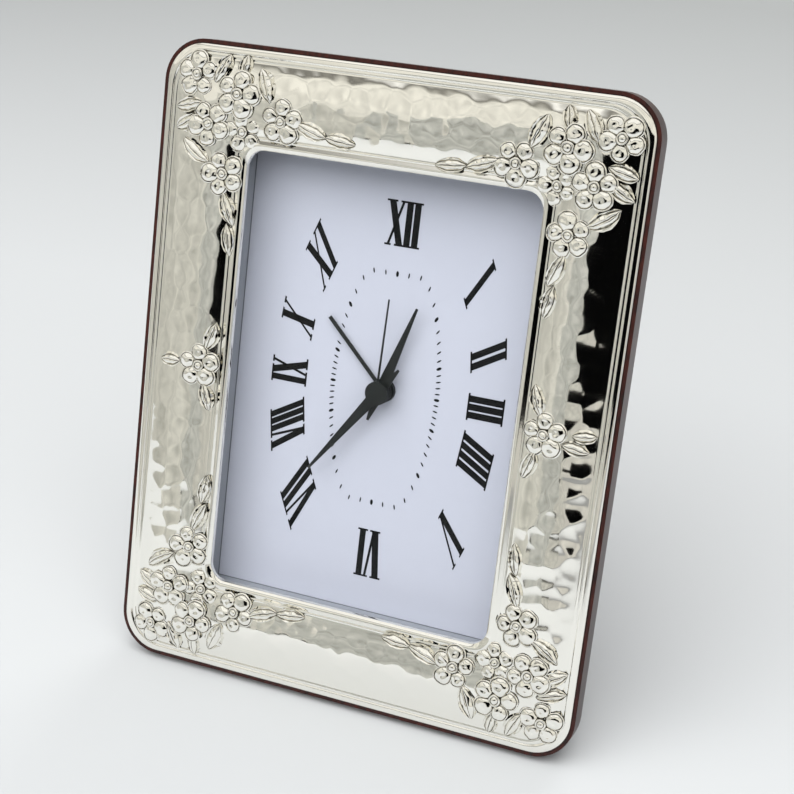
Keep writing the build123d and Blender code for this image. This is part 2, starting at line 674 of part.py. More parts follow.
with BuildPart() as stator:
    with BuildSketch(face_plane(STATOR_BACK)):
        with Locations(((COIL_U + ROTOR_AXIS[0]) / 2, ROTOR_AXIS[1] + STATOR_RISE)):
            Rectangle(ROTOR_AXIS[0] - COIL_U + STATOR_EDGE, STATOR_PLATE)
        with Locations((COIL_U, (COIL_SPAN[0] + ROTOR_AXIS[1]) / 2)):
            Rectangle(STATOR_LIMB, ROTOR_AXIS[1] - COIL_SPAN[0] + 2 * STATOR_TAIL)
        with Locations(ROTOR_AXIS):
            bore(STATOR_HOLE)
    extrude(amount=STATOR_THICK)
save(stator, "stator")

COIL_PLANE = Plane(
    origin=face_point(COIL_U, COIL_SPAN[0], STATOR_BACK + STATOR_THICK / 2),
    x_dir=(1, 0, 0),
    z_dir=UP_THE_FACE,
)
with BuildPart() as coil:
    with BuildSketch(COIL_PLANE):
        shaft(COIL_RADIUS, WIDE_SIDES)
        Rectangle(STATOR_LIMB, STATOR_THICK, mode=Mode.SUBTRACT)
    extrude(amount=COIL_SPAN[1] - COIL_SPAN[0])
save(coil, "coil")

with BuildPart() as circuit_board:
    with BuildSketch(face_plane(BOARD_BACK, *BOARD_AT)):
        Rectangle(*BOARD_SIZE)
    extrude(amount=BOARD_THICK)
save(circuit_board, "circuit_board")

with BuildPart() as crystal:
    with BuildSketch(cross_plane(*CRYSTAL_AT)):
        shaft(CRYSTAL_RADIUS)
    extrude(amount=CRYSTAL_LENGTH)
save(crystal, "quartz_crystal")

with BuildPart() as sounder:
    with BuildSketch(face_plane(CASE_FLOOR, *SOUNDER_AT)):
        shaft(SOUNDER_RADIUS, WIDE_SIDES)
        bore(SOUNDER_HOLE)
    extrude(amount=SOUNDER_THICK)
save(sounder, "alarm_sounder")

with BuildPart() as battery:
    with BuildSketch(cross_plane(BATTERY_MINUS, BATTERY_V, BATTERY_N)):
        shaft(BATTERY_RADIUS, WIDE_SIDES)
    extrude(amount=BATTERY_LENGTH)
    with BuildSketch(cross_plane(BATTERY_PLUS, BATTERY_V, BATTERY_N)):
        shaft(BATTERY_NUB)
    extrude(amount=BATTERY_NUB_RISE)
save(battery, "battery")

with BuildPart() as contact_plus:
    with BuildSketch(cross_plane(BAY_HALF, BATTERY_V, BATTERY_N)):
        Rectangle(CONTACT_SIDE, CONTACT_SIDE)
    extrude(amount=-CONTACT_THICK)
save(contact_plus, "contact_plus")

# The other contact is a strip against the bay's wall, bent back to press on the cell
with BuildPart() as contact_minus:
    with BuildSketch(face_plane(BATTERY_N - CONTACT_SIDE / 2, -BAY_HALF, BATTERY_V)):
        with BuildLine():
            reach = BATTERY_MINUS + BAY_HALF
            half = CONTACT_SIDE / 2
            Polyline(
                (0, -half), (0, half), (CONTACT_THICK, half), (reach, CONTACT_THICK), (reach, -CONTACT_THICK),
                (CONTACT_THICK, half - 3 * CONTACT_THICK), (CONTACT_THICK, -half),
                close=True,
            )
        make_face()
    extrude(amount=CONTACT_SIDE)
save(contact_minus, "contact_minus")

SWITCH_PLANE = face_plane(CASE_BACK - SWITCH_PLAY, SWITCH_AT[0] - SWITCH_TRAVEL / 2, SWITCH_AT[1])
with BuildPart() as switch:
    with BuildSketch(SWITCH_PLANE):
        Rectangle(*SWITCH_STEM)
    extrude(amount=CASE_WALL + 2 * SWITCH_PLAY)
    with BuildSketch(SWITCH_PLANE):
        Rectangle(*SWITCH_CAP)
    extrude(amount=-SWITCH_CAP_RISE)
save(switch, "alarm_switch")

# Hands


def blade(angle, widths, length, tail):
    """Outline of a tapered hand with a shorter tapered tail, turned clockwise from twelve."""
    root, tip = widths
    with BuildSketch() as outline:
        with BuildLine():
            Polyline(
                (tip / 2, length), (root / 2, 0), (tip / 2, -tail),
                (-tip / 2, -tail), (-root / 2, 0), (-tip / 2, length),
                close=True,
            )
        make_face()
    return outline.sketch.rotate(Axis.Z, -angle)


def hand(level, angle, widths, length, tail, hole, name):
    """Flat hand pressed on the front end of its arbor."""
    with BuildPart() as piece:
        with BuildSketch(face_plane(level)):
            add(blade(angle, widths, length, tail))
            shaft(HAND_HUB, WIDE_SIDES)
            if hole:
                bore(hole)
        extrude(amount=HAND_THICK)
    save(piece, name)


hand(ALARM_LEVEL, ALARM_ANGLE, ALARM_BATON, ALARM_LENGTH, SHORT_TAIL, ALARM_TUBE[0], "alarm_hand")
hand(HOUR_LEVEL, HOUR_ANGLE, BATON, HOUR_LENGTH, HAND_TAIL, HOUR_TUBE[0], "hour_hand")
hand(MINUTE_LEVEL, MINUTE_ANGLE, BATON, MINUTE_LENGTH, HAND_TAIL, MINUTE_TUBE[0], "minute_hand")
hand(SECOND_LEVEL, SECOND_ANGLE, SECOND_BATON, SECOND_LENGTH, SHORT_TAIL, 0.0, "second_hand")

# Folding strut and its hinge

HINGE = face_point(0, HINGE_V, HINGE_N)
STRUT_LENGTH = HINGE[2] / cos(radians(STRUT_ANGLE))
STRUT_PLANE = Plane(
    origin=HINGE,
    x_dir=(1, 0, 0),
    z_dir=(0, -cos(radians(STRUT_ANGLE)), -sin(radians(STRUT_ANGLE))),
)
PIN_PLANE = Plane(origin=HINGE, x_dir=(0, 1, 0), z_dir=(1, 0, 0))


def knuckle(start, end):
    """Rolled barrel of the hinge between two places along the pin."""
    with BuildSketch(PIN_PLANE.offset(start)) as barrel:
        shaft(KNUCKLE)
        bore(PIN + RUN)
    extrude(barrel.sketch, amount=end - start)


KNUCKLE_END = KNUCKLE_HALF + KNUCKLE_PLAY
with BuildPart() as fixed_leaf:
    with BuildSketch(face_plane(BODY_BACK)):
        with Locations((0, HINGE_V + (LEAF_NECK + LEAF_RISE) / 2)):
            Rectangle(2 * HINGE_HALF, LEAF_RISE - LEAF_NECK)
        for side in (-1, 1):
            with Locations((side * (KNUCKLE_END + HINGE_HALF) / 2, HINGE_V + LEAF_NECK / 2)):
                Rectangle(HINGE_HALF - KNUCKLE_END, LEAF_NECK + 2 * LEAF_LAP)
    extrude(amount=-LEAF_THICK)
    knuckle(-HINGE_HALF, -KNUCKLE_END)
    knuckle(KNUCKLE_END, HINGE_HALF)
save(fixed_leaf, "hinge_leaf_fixed")

with BuildPart() as hinge_pin:
    with BuildSketch(PIN_PLANE.offset(-HINGE_HALF - PIN_END)):
        shaft(PIN)
    extrude(amount=2 * (HINGE_HALF + PIN_END))
save(hinge_pin, "hinge_pin")

with BuildPart() as strut_leaf:
    knuckle(-KNUCKLE_HALF, KNUCKLE_HALF)
    with BuildSketch(STRUT_PLANE.offset(KNUCKLE)):
        with Locations((0, -STRUT_LEAF / 2)):
            Rectangle(2 * KNUCKLE_HALF, STRUT_LEAF)
    extrude(amount=-LEAF_THICK)
    with BuildSketch(PIN_PLANE.offset(-KNUCKLE_HALF)):
        bore(PIN + RUN, mode=Mode.ADD)
    extrude(amount=2 * KNUCKLE_HALF, mode=Mode.SUBTRACT)
save(strut_leaf, "hinge_leaf_strut")

with BuildPart() as strut:
    with BuildSketch(STRUT_PLANE.offset(STRUT_THICK / 2)):
        with BuildLine():
            foot = -STRUT_LENGTH - STRUT_OVERRUN
            Polyline(
                (-STRUT_TOP / 2, -STRUT_START), (STRUT_TOP / 2, -STRUT_START),
                (STRUT_FOOT / 2, foot), (-STRUT_FOOT / 2, foot),
                close=True,
            )
        make_face()
    extrude(amount=-STRUT_THICK)
    with BuildSketch(STRUT_PLANE.offset(STRUT_THICK / 2)):
        with Locations((0, -STRUT_LEAF / 2)):
            Rectangle(2 * KNUCKLE_HALF, STRUT_LEAF)
    extrude(amount=-(STRUT_THICK / 2 - KNUCKLE + LEAF_THICK), mode=Mode.SUBTRACT)
    split(bisect_by=Plane.XY, keep=Keep.TOP)
save(strut, "strut_leg")
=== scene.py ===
import json
from math import asin, atan2, cos, exp, hypot, pi, radians, sin

import bmesh
import bpy
from mathutils import Matrix, Vector, noise


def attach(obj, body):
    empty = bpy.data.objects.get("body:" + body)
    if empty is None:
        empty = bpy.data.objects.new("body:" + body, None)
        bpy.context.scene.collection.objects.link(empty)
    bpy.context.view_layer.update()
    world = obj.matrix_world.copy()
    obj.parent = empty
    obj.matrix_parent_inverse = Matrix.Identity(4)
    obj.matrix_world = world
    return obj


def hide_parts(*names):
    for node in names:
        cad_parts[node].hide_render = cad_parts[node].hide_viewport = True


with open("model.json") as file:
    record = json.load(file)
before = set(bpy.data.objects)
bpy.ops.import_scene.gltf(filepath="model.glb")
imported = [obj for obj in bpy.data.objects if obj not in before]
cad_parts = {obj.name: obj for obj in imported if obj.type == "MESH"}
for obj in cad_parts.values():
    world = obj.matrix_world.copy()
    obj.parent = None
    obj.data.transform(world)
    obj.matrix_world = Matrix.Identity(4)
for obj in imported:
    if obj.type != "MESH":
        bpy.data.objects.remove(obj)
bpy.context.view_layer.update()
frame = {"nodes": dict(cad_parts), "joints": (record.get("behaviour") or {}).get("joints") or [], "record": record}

# A photo frame clock with an embossed silver border. Pieces of the face are modelled
# flat, with u along X, v along Y and n along Z, and then stood up on the leaning frame.
MM = 0.001

# Leaning face, found from the hands' axis, whose joint stands this deep behind the rim plane
SPIN_DEPTH = 20.0
spin = next(joint for joint in frame["joints"] if joint["name"] == "minute_spin")
into_face = Vector(spin["axis"])
LEAN = asin(-into_face.z)
face_middle = Vector(spin["pos_m"]) - into_face * SPIN_DEPTH * MM
FACE = Matrix.Translation(face_middle) @ Matrix.Rotation(pi / 2 - LEAN, 4, "X")

# Border: outer size, corner rounds, width of the band and level of its seat
BORDER = (140.0, 180.0)
BORDER_CORNER = 11.0
WINDOW_CORNER = 5.0
BAND = 27.0
SEAT = -1.0

# Insets from the outer edge at which the parts of the border's section end
EDGE_ROUND = 1.7
OUTER_BEAD = 2.1
SECOND_BEAD = 3.4
FIELD_END = 23.6
INNER_BEAD = 24.3
LIP_TOP = 25.5

# Heights of those parts over the rim plane, and how far beads and field swell
EDGE_RISE = 0.85
EDGE_DROP = 0.2
SECOND_FOOT = 0.45
SECOND_SWELL = 0.16
FIELD_FOOT = 0.5
FIELD_SWELL = 1.7
INNER_FOOT = 0.9
INNER_SWELL = 0.12
LIP_FOOT = 0.8
LIP_RISE = 1.3
LIP_DROP = 0.8

# Divisions of the outlines and of the section
CORNER_STEPS = 14
SIDE_CUTS = (69, 93)
EDGE_STEPS = 26
FIELD_STEPS = 42
LIP_STEPS = 30

# Planished field: size, depth and noise slice of the hammer marks and of finer ripples
HAMMER_MARK = 5.2
HAMMER_DEPTH = 0.24
HAMMER_SLICE = 3.7
RIPPLE = 2.4
RIPPLE_DEPTH = 0.012
RIPPLE_SLICE = 1.3

# How fast the marks fade in and out at the field's edges, and how they ease towards the window
FADE_IN = 8
FADE_OUT = 5
OUTER_FORCE = 1.25
FORCE_EASE = 0.7

# Dial: level of its face, and how far the ink stands proud of it
DIAL_FACE = -12.5
INK = 0.04


# Colours and node helpers

def linear(code):
    """Linear colour of an sRGB hex value."""
    channels = [int(code[i:i + 2], 16) / 255 for i in (1, 3, 5)]
    return [c / 12.92 if c <= 0.04045 else ((c + 0.055) / 1.055) ** 2.4 for c in channels] + [1.0]


def add_node(tree, kind, inputs=None, **settings):
    """Node of a kind with its settings, its values and its links."""
    made = tree.nodes.new(kind)
    for name, value in settings.items():
        setattr(made, name, value)
    for name, value in (inputs or {}).items():
        if isinstance(value, bpy.types.NodeSocket):
            tree.links.new(value, made.inputs[name])
        else:
            made.inputs[name].default_value = value
    return made


def start_material(name, **values):
    """New material with its surface shader, whose constant values are set on its own sockets."""
    made = bpy.data.materials.new(name)
    made.use_nodes = True
    shader = made.node_tree.nodes["Principled BSDF"]
    for socket, value in values.items():
        shader.inputs[socket.replace("_", " ")].default_value = value
    return made, made.node_tree, shader


def scale_of(size_mm):
    """Texture scale whose feature is about this many millimetres on the object."""
    return 1 / (size_mm * MM)


# Materials

def polished_silver():
    """Silver plate, pressed and polished: a warm mirror with a faint haze, with painted shade darkening the
    hollows.
    """
    made, tree, shader = start_material("polished_silver", Metallic=1.0)
    place = add_node(tree, "ShaderNodeTexCoord").outputs["Object"]
    haze = add_node(tree, "ShaderNodeTexNoise", {"Vector": place, "Scale": scale_of(9), "Detail": 4.0})
    rough = add_node(
        tree, "ShaderNodeMapRange", {"Value": haze.outputs["Fac"], "To Min": 0.03, "To Max": 0.08}
    )
    wipes = add_node(
        tree, "ShaderNodeTexNoise", {"Vector": place, "Scale": scale_of(1.2), "Detail": 3.0}
    )
    bump = add_node(
        tree, "ShaderNodeBump", {"Height": wipes.outputs["Fac"], "Strength": 0.05, "Distance": 0.05 * MM}
    )
    # Painted shade: the base colour darkens in hollows and creases, by how little of the room they see
    hollow_shade = add_node(tree, "ShaderNodeAmbientOcclusion", {"Distance": 0.7 * MM}, samples=8)
    tone = add_node(tree, "ShaderNodeValToRGB", {"Fac": hollow_shade.outputs["AO"]})
    tone.color_ramp.elements[0].position = 0.3
    tone.color_ramp.elements[0].color = linear("#78736A")
    tone.color_ramp.elements[1].position = 0.75
    tone.color_ramp.elements[1].color = linear("#F5F3EC")
    tree.links.new(tone.outputs["Color"], shader.inputs["Base Color"])
    tree.links.new(rough.outputs["Result"], shader.inputs["Roughness"])
    tree.links.new(bump.outputs["Normal"], shader.inputs["Normal"])
    return made


def lacquered_mahogany():
    """Mahogany under thin lacquer: dark red brown with darker pores along the grain, softly glossy."""
    made, tree, shader = start_material(
        "lacquered_mahogany", Coat_Weight=0.15, Coat_Roughness=0.1, Roughness=0.4, Specular_IOR_Level=0.3
    )
    place = add_node(tree, "ShaderNodeTexCoord").outputs["Object"]
    turned = add_node(tree, "ShaderNodeMapping", {"Vector": place, "Scale": (1.0, 1.0, 0.05)})
    grain = add_node(
        tree, "ShaderNodeTexNoise",
        {"Vector": turned.outputs["Vector"], "Scale": scale_of(1.1), "Detail": 8.0},
    )
    tone = add_node(tree, "ShaderNodeValToRGB", {"Fac": grain.outputs["Fac"]})
    tone.color_ramp.elements[0].position = 0.3
    tone.color_ramp.elements[0].color = linear("#140403")
    tone.color_ramp.elements[1].position = 0.72
    tone.color_ramp.elements[1].color = linear("#3A1108")
    tree.links.new(tone.outputs["Color"], shader.inputs["Base Color"])
    return made


def speckled(name, dark, light, size_mm, bump_depth=0.02, **values):
    """Plain finish with a fine mottle between two tones and a matching slight relief."""
    made, tree, shader = start_material(name, **values)
    place = add_node(tree, "ShaderNodeTexCoord").outputs["Object"]
    mottle = add_node(
        tree, "ShaderNodeTexNoise", {"Vector": place, "Scale": scale_of(size_mm), "Detail": 5.0}
    )
    tone = add_node(tree, "ShaderNodeValToRGB", {"Fac": mottle.outputs["Fac"]})
    tone.color_ramp.elements[0].color = linear(dark)
    tone.color_ramp.elements[1].color = linear(light)
    bump = add_node(
        tree, "ShaderNodeBump",
        {"Height": mottle.outputs["Fac"], "Strength": 0.3, "Distance": bump_depth * MM},
    )
    tree.links.new(tone.outputs["Color"], shader.inputs["Base Color"])
    tree.links.new(bump.outputs["Normal"], shader.inputs["Normal"])
    return made


# Heights over the dial between which the painted shade in the spacer's corner with the dial fades out
CORNER_SHADE = (0.3, 0.8)


def moulded_spacer():
    """Blue grey moulding round the dial, with painted shade in the corner where the two meet."""
    made, tree, shader = start_material("moulded_spacer", Roughness=0.55)
    place = add_node(tree, "ShaderNodeTexCoord").outputs["Object"]
    level = add_node(tree, "ShaderNodeVectorMath", {0: place, 1: -into_face}, operation="DOT_PRODUCT")
    joint = -into_face.dot(FACE.translation) + DIAL_FACE * MM
    share = add_node(
        tree, "ShaderNodeMapRange",
        {
            "Value": level.outputs["Value"],
            "From Min": joint + CORNER_SHADE[0] * MM, "From Max": joint + CORNER_SHADE[1] * MM,
        },
    )
    # Painted shade: the moulding darkens just above the dial, where the corner's shadow falls
    tone = add_node(tree, "ShaderNodeValToRGB", {"Fac": share.outputs["Result"]})
    tone.color_ramp.elements[0].color = linear("#393C43")
    tone.color_ramp.elements[1].color = linear("#92959A")
    grain = add_node(tree, "ShaderNodeTexNoise", {"Vector": place, "Scale": scale_of(1), "Detail": 3.0})
    bump = add_node(
        tree, "ShaderNodeBump", {"Height": grain.outputs["Fac"], "Strength": 0.2, "Distance": 0.02 * MM}
    )
    tree.links.new(tone.outputs["Color"], shader.inputs["Base Color"])
    tree.links.new(bump.outputs["Normal"], shader.inputs["Normal"])
    return made


# Places along the cell between which its sleeve turns from black to copper
COPPER_EDGE = (13.8, 14.2)


def two_tone_sleeve():
    """Shrink sleeve of a cell: glossy black with a coppery band at the plus end."""
    made, tree, shader = start_material("battery_sleeve", Roughness=0.28)
    place = add_node(tree, "ShaderNodeTexCoord").outputs["Object"]
    along = add_node(tree, "ShaderNodeSeparateXYZ", {"Vector": place})
    share = add_node(
        tree, "ShaderNodeMapRange",
        {"Value": along.outputs["X"], "From Min": COPPER_EDGE[0] * MM, "From Max": COPPER_EDGE[1] * MM},
    )
    tone = add_node(tree, "ShaderNodeValToRGB", {"Fac": share.outputs["Result"]})
    tone.color_ramp.elements[0].color = linear("#17181B")
    tone.color_ramp.elements[1].color = linear("#9A6236")
    wrap = add_node(tree, "ShaderNodeTexNoise", {"Vector": place, "Scale": scale_of(6), "Detail": 2.0})
    bump = add_node(
        tree, "ShaderNodeBump", {"Height": wrap.outputs["Fac"], "Strength": 0.2, "Distance": 0.05 * MM}
    )
    tree.links.new(tone.outputs["Color"], shader.inputs["Base Color"])
    tree.links.new(bump.outputs["Normal"], shader.inputs["Normal"])
    return made


def clear_glass():
    """Float glass: clear, with a mirror sheen on its outer side that grows at a slant."""
    made = bpy.data.materials.new("clear_glass")
    made.use_nodes = True
    tree = made.node_tree
    tree.nodes.remove(tree.nodes["Principled BSDF"])
    # A ray that leaves the pane at a slant would be mirrored whole, so inner sides have no sheen
    slant = add_node(tree, "ShaderNodeFresnel", {"IOR": 1.3}).outputs["Fac"]
    inside = add_node(tree, "ShaderNodeNewGeometry").outputs["Backfacing"]
    outside = add_node(tree, "ShaderNodeMath", {0: 1.0, 1: inside}, operation="SUBTRACT").outputs[0]
    sheen = add_node(tree, "ShaderNodeMath", {0: slant, 1: outside}, operation="MULTIPLY").outputs[0]
    through = add_node(tree, "ShaderNodeBsdfTransparent", {"Color": linear("#FBFCFD")})
    mirror = add_node(tree, "ShaderNodeBsdfGlossy", {"Roughness": 0.02})
    both = add_node(
        tree, "ShaderNodeMixShader",
        {"Fac": sheen, 1: through.outputs["BSDF"], 2: mirror.outputs["BSDF"]},
    )
    tree.links.new(both.outputs["Shader"], tree.nodes["Material Output"].inputs["Surface"])
    return made


SILVER = polished_silver()
MAHOGANY = lacquered_mahogany()
FINISHES = {
    "silver": SILVER,
    "wood": MAHOGANY,
    "glass": clear_glass(),
    # Resin cast behind the silver: dull, even and warm grey
    "filler": speckled("cast_resin", "#8A8478", "#97907F", 2.0, Roughness=0.7),
    # Hardboard, stained: flat dark brown with a fine fibrous mottle
    "board": speckled("stained_hardboard", "#241209", "#432619", 0.5, 0.08, Roughness=0.6),
    "spacer": moulded_spacer(),
    # Enamelled sheet: an even satin, pale with a cool cast
    "dial": speckled("satin_dial", "#BCBDC6", "#C0C1CA", 0.6, 0.004, Roughness=0.45),
    # Stoved enamel: smooth near black with a soft sheen
    "hands": speckled("black_enamel", "#0D100F", "#141716", 1.0, 0.004, Roughness=0.35),
    # Stamped brass under lacquer: warm yellow with soft highlights
    "brass": speckled("lacquered_brass", "#B08A45", "#C9A45C", 1.5, 0.01, Roughness=0.25, Metallic=1.0),
    # Plastic from a spark-eroded mould: dull black with a fine grain
    "case": speckled("moulded_black_plastic", "#141416", "#1D1D20", 0.5, 0.03, Roughness=0.5),
    # Moulded acetal: milky white with a waxy sheen
    "wheels": speckled("white_acetal", "#DAD7CB", "#E4E1D6", 1.0, Roughness=0.45),
    # Bare rolled steel: grey with blurred highlights
    "steel": speckled("plain_steel", "#8C8D90", "#A4A6A9", 0.8, 0.006, Roughness=0.3, Metallic=1.0),
    # Fine enamelled wire: red brown with a broken gloss
    "copper": speckled(
        "enamelled_copper", "#7A3A1C", "#9C5328", 0.3, 0.03, Roughness=0.35, Metallic=1.0
    ),
    # Printed solder mask: even half-gloss green
    "circuit": speckled("solder_mask", "#0F3D20", "#155028", 1.0, Roughness=0.4),
    "cell": two_tone_sleeve(),
    # Cut foam tape: black, open grained and dull
    "pad": speckled("foam_tape", "#1B1B1B", "#262626", 0.4, 0.05, Roughness=0.9),
}
# Screen printing ink: dense matt black
INK_BLACK = speckled(
    "printing_ink", "#050506", "#090A0B", 0.8, 0.004, Roughness=0.6, Specular_IOR_Level=0.2
)

slot_of = {row["node"]: row["material_slot"] for row in frame["record"]["subparts"]}
for name, piece in frame["nodes"].items():
    piece.data.materials.clear()
    piece.data.materials.append(FINISHES[slot_of[name]])


# Modelling helpers

# Points nearer than this are one
WELD_GAP = 0.002


def start_piece(name):
    """Empty mesh object in edit mode, the only thing selected."""
    if bpy.context.mode != "OBJECT":
        bpy.ops.object.mode_set(mode="OBJECT")
    bpy.ops.object.select_all(action="DESELECT")
    piece = bpy.data.objects.new(name, bpy.data.meshes.new(name))
    bpy.context.scene.collection.objects.link(piece)
    bpy.context.view_layer.objects.active = piece
    piece.select_set(True)
    bpy.ops.object.mode_set(mode="EDIT")
    bpy.ops.mesh.select_mode(type="VERT")
    return piece


def finish_piece(piece, finish, body="frame", smooth=pi / 3):
    """Stand a piece up on the leaning face, shade it, and let it ride on its body."""
    if bpy.context.mode != "OBJECT":
        bpy.ops.object.mode_set(mode="OBJECT")
    bpy.ops.object.select_all(action="DESELECT")
    bpy.context.view_layer.objects.active = piece
    piece.select_set(True)
    piece.matrix_world = FACE
    bpy.ops.object.transform_apply(location=True, rotation=True, scale=True)
    bpy.ops.object.shade_smooth_by_angle(angle=smooth)
    piece.data.materials.clear()
    piece.data.materials.append(finish)
    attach(piece, body)


def select_edges(chosen):
    """Select just the edges for which the test holds."""
    bpy.ops.mesh.select_mode(type="EDGE")
    bpy.ops.mesh.select_all(action="DESELECT")
    mesh = bmesh.from_edit_mesh(bpy.context.object.data)
    for edge in mesh.edges:
        edge.select_set(chosen(edge))
    bmesh.update_edit_mesh(bpy.context.object.data)


def add_outline(width, height, corner):
    """Rounded rectangle of edges, finely divided, in the mesh that is being edited."""
    long_side = min(width, height) * MM / 3
    bpy.ops.mesh.select_all(action="DESELECT")
    bpy.ops.mesh.primitive_plane_add(size=1)
    bpy.ops.transform.resize(value=(width * MM, height * MM, 1), center_override=(0, 0, 0))
    bpy.ops.mesh.bevel(offset=corner * MM, segments=CORNER_STEPS, affect="VERTICES")
    bpy.ops.mesh.delete(type="ONLY_FACE")
    for axis, cuts in enumerate(SIDE_CUTS):

        def is_long_side(edge, axis=axis):
            run = edge.verts[1].co - edge.verts[0].co
            return edge.is_wire and abs(run[axis]) > long_side

        select_edges(is_long_side)
        # One cut more halves the parts, since a single call makes a hundred cuts at most
        bpy.ops.mesh.subdivide(number_cuts=cuts)
        bpy.ops.mesh.subdivide(number_cuts=1)


def sweep(outlines):
    """Closed wall through outlines, each a width, height, corner and level, back to the first."""
    piece = bpy.context.object
    add_outline(*outlines[0][:3])
    select_edges(lambda edge: edge.is_wire)
    last = outlines[0]
    for step, outline in enumerate(outlines + outlines[:1]):
        if step:
            bpy.ops.mesh.extrude_edges_move()
        mesh = bmesh.from_edit_mesh(piece.data)
        for vertex in mesh.verts:
            if vertex.select:
                vertex.co = on_outline(vertex.co, last, outline)
        bmesh.update_edit_mesh(piece.data)
        last = outline
    bpy.ops.mesh.select_all(action="SELECT")
    bpy.ops.mesh.remove_doubles(threshold=WELD_GAP * MM)
    bpy.ops.mesh.normals_make_consistent(inside=False)


def on_outline(point, old, new):
    """Point of a new outline that matches a point of the old one."""
    hub = []
    fresh = []
    for axis in (0, 1):
        reach = (old[axis] / 2 - old[2]) * MM
        held = max(-reach, min(reach, point[axis]))
        hub.append(held)
        fresh.append(held / reach * (new[axis] / 2 - new[2]) * MM)
    away = Vector((point[0] - hub[0], point[1] - hub[1])).normalized() * new[2] * MM
    return Vector((fresh[0] + away.x, fresh[1] + away.y, new[3] * MM))


def outline_at(inset):
    """Width, height and corner of the border's outline at an inset."""
    corner = BORDER_CORNER + inset / BAND * (WINDOW_CORNER - BORDER_CORNER)
    return BORDER[0] - 2 * inset, BORDER[1] - 2 * inset, corner


# Rounds in which a corner's inset is closed in on, and the share of the error taken off in each
INSET_ROUNDS = 16
INSET_STEP = 0.8


def inset_of(u, v):
    """How far in from the border's outer edge a point lies, in millimetres."""
    across, up = abs(u), abs(v)
    from_side = min(BORDER[0] / 2 - across, BORDER[1] / 2 - up)
    inset = from_side
    for _ in range(INSET_ROUNDS):
        width, height, corner = outline_at(inset)
        out_u = across - (width / 2 - corner)
        out_v = up - (height / 2 - corner)
        if out_u <= 0 or out_v <= 0:
            return from_side
        inset += INSET_STEP * (corner - hypot(out_u, out_v))
    return inset


# Silver border

def bead(inset, start, end, low_start, low_end, rise):
    """Height of a part of the section that swells between its two feet."""
    share = (inset - start) / (end - start)
    swell = max(0.0, 1 - (2 * share - 1) ** 2)
    return low_start + share * (low_end - low_start) + rise * swell


def border_height(inset):
    """Height of the border's section over the rim plane."""
    if inset < EDGE_ROUND:
        return EDGE_RISE * (1 - (1 - inset / EDGE_ROUND) ** 2) ** 0.5
    if inset < OUTER_BEAD:
        return EDGE_RISE - EDGE_DROP * ((inset - EDGE_ROUND) / (OUTER_BEAD - EDGE_ROUND)) ** 2
    if inset < SECOND_BEAD:
        return bead(inset, OUTER_BEAD, SECOND_BEAD, SECOND_FOOT, FIELD_FOOT, SECOND_SWELL)
    if inset < FIELD_END:
        return bead(inset, SECOND_BEAD, FIELD_END, FIELD_FOOT, INNER_FOOT, FIELD_SWELL)
    if inset < INNER_BEAD:
        return bead(inset, FIELD_END, INNER_BEAD, INNER_FOOT, LIP_FOOT, INNER_SWELL)
    if inset < LIP_TOP:
        return bead(inset, INNER_BEAD, LIP_TOP, LIP_FOOT, LIP_RISE, 0.0)
    return LIP_RISE - LIP_DROP * ((inset - LIP_TOP) / (BAND - LIP_TOP)) ** 2


def hammer_marks(u, v, inset):
    """Shallow dishes of a planishing hammer and finer ripples, both deeper towards the outer edge."""
    share = (inset - SECOND_BEAD) / (FIELD_END - SECOND_BEAD)
    if not 0 < share < 1:
        return 0.0
    fade = min(1.0, FADE_IN * share, FADE_OUT * (1 - share)) * (OUTER_FORCE - FORCE_EASE * share)
    near = noise.voronoi(Vector((u / HAMMER_MARK, v / HAMMER_MARK, HAMMER_SLICE)))[0][0]
    ripple = noise.noise(Vector((u / RIPPLE, v / RIPPLE, RIPPLE_SLICE)))
    return fade * (HAMMER_DEPTH * near ** 2 + RIPPLE_DEPTH * ripple)


def silver_border():
    """Pressed border: a round edge, two beads, the planished field, an inner bead and the lip."""
    piece = start_piece("silver_border")
    spans = [
        (0.0, SECOND_BEAD, EDGE_STEPS), (SECOND_BEAD, FIELD_END, FIELD_STEPS),
        (FIELD_END, BAND, LIP_STEPS),
    ]
    insets = []
    for start, end, count in spans:
        insets += [start + (end - start) * step / count for step in range(count)]
    insets.append(BAND)
    outlines = [(*outline_at(inset), border_height(inset)) for inset in insets]
    sweep([(*outline_at(0.0), SEAT)] + outlines + [(*outline_at(BAND), SEAT)])
    bpy.ops.object.mode_set(mode="OBJECT")
    for vertex in piece.data.vertices:
        u, v = vertex.co.x / MM, vertex.co.y / MM
        vertex.co.z += hammer_marks(u, v, inset_of(u, v)) * MM
    finish_piece(piece, SILVER, smooth=radians(70))
    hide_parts("silver_front")


silver_border()

# Embossed sprays: blossoms as inset from the side, inset from the top, size, turn and lift, and
# leaves as the two insets, length, width, turn and curve, all of the top left corner
BLOSSOMS = [
    (8.8, 9.6, 1.06, 20, 0.2), (22.2, 13.6, 1.12, 5, 0.45), (14.0, 22.6, 1.08, 50, 0.3),
    (24.0, 23.6, 1.0, 30, 0.0), (35.7, 19.4, 1.06, 15, 0.1), (19.1, 35.8, 1.06, 40, 0.1),
]
LEAVES = [
    (30.2, 10.4, 10.0, 5.8, 112, 0.0), (23.0, 6.0, 6.8, 4.4, 80, 0.0), (16.4, 7.4, 9.2, 5.2, 65, 0.0),
    (7.2, 23.0, 8.6, 5.0, 30, 0.1), (7.2, 18.2, 8.6, 4.8, 15, 0.0), (10.4, 30.6, 10.4, 5.2, -34, 0.25),
    (44.8, 20.8, 10.0, 5.0, -18, 0.1), (53.4, 22.4, 9.4, 4.6, -6, 0.0),
    (21.2, 45.4, 10.0, 5.0, -68, 0.1), (22.2, 54.0, 9.4, 4.6, -80, 0.0),
]

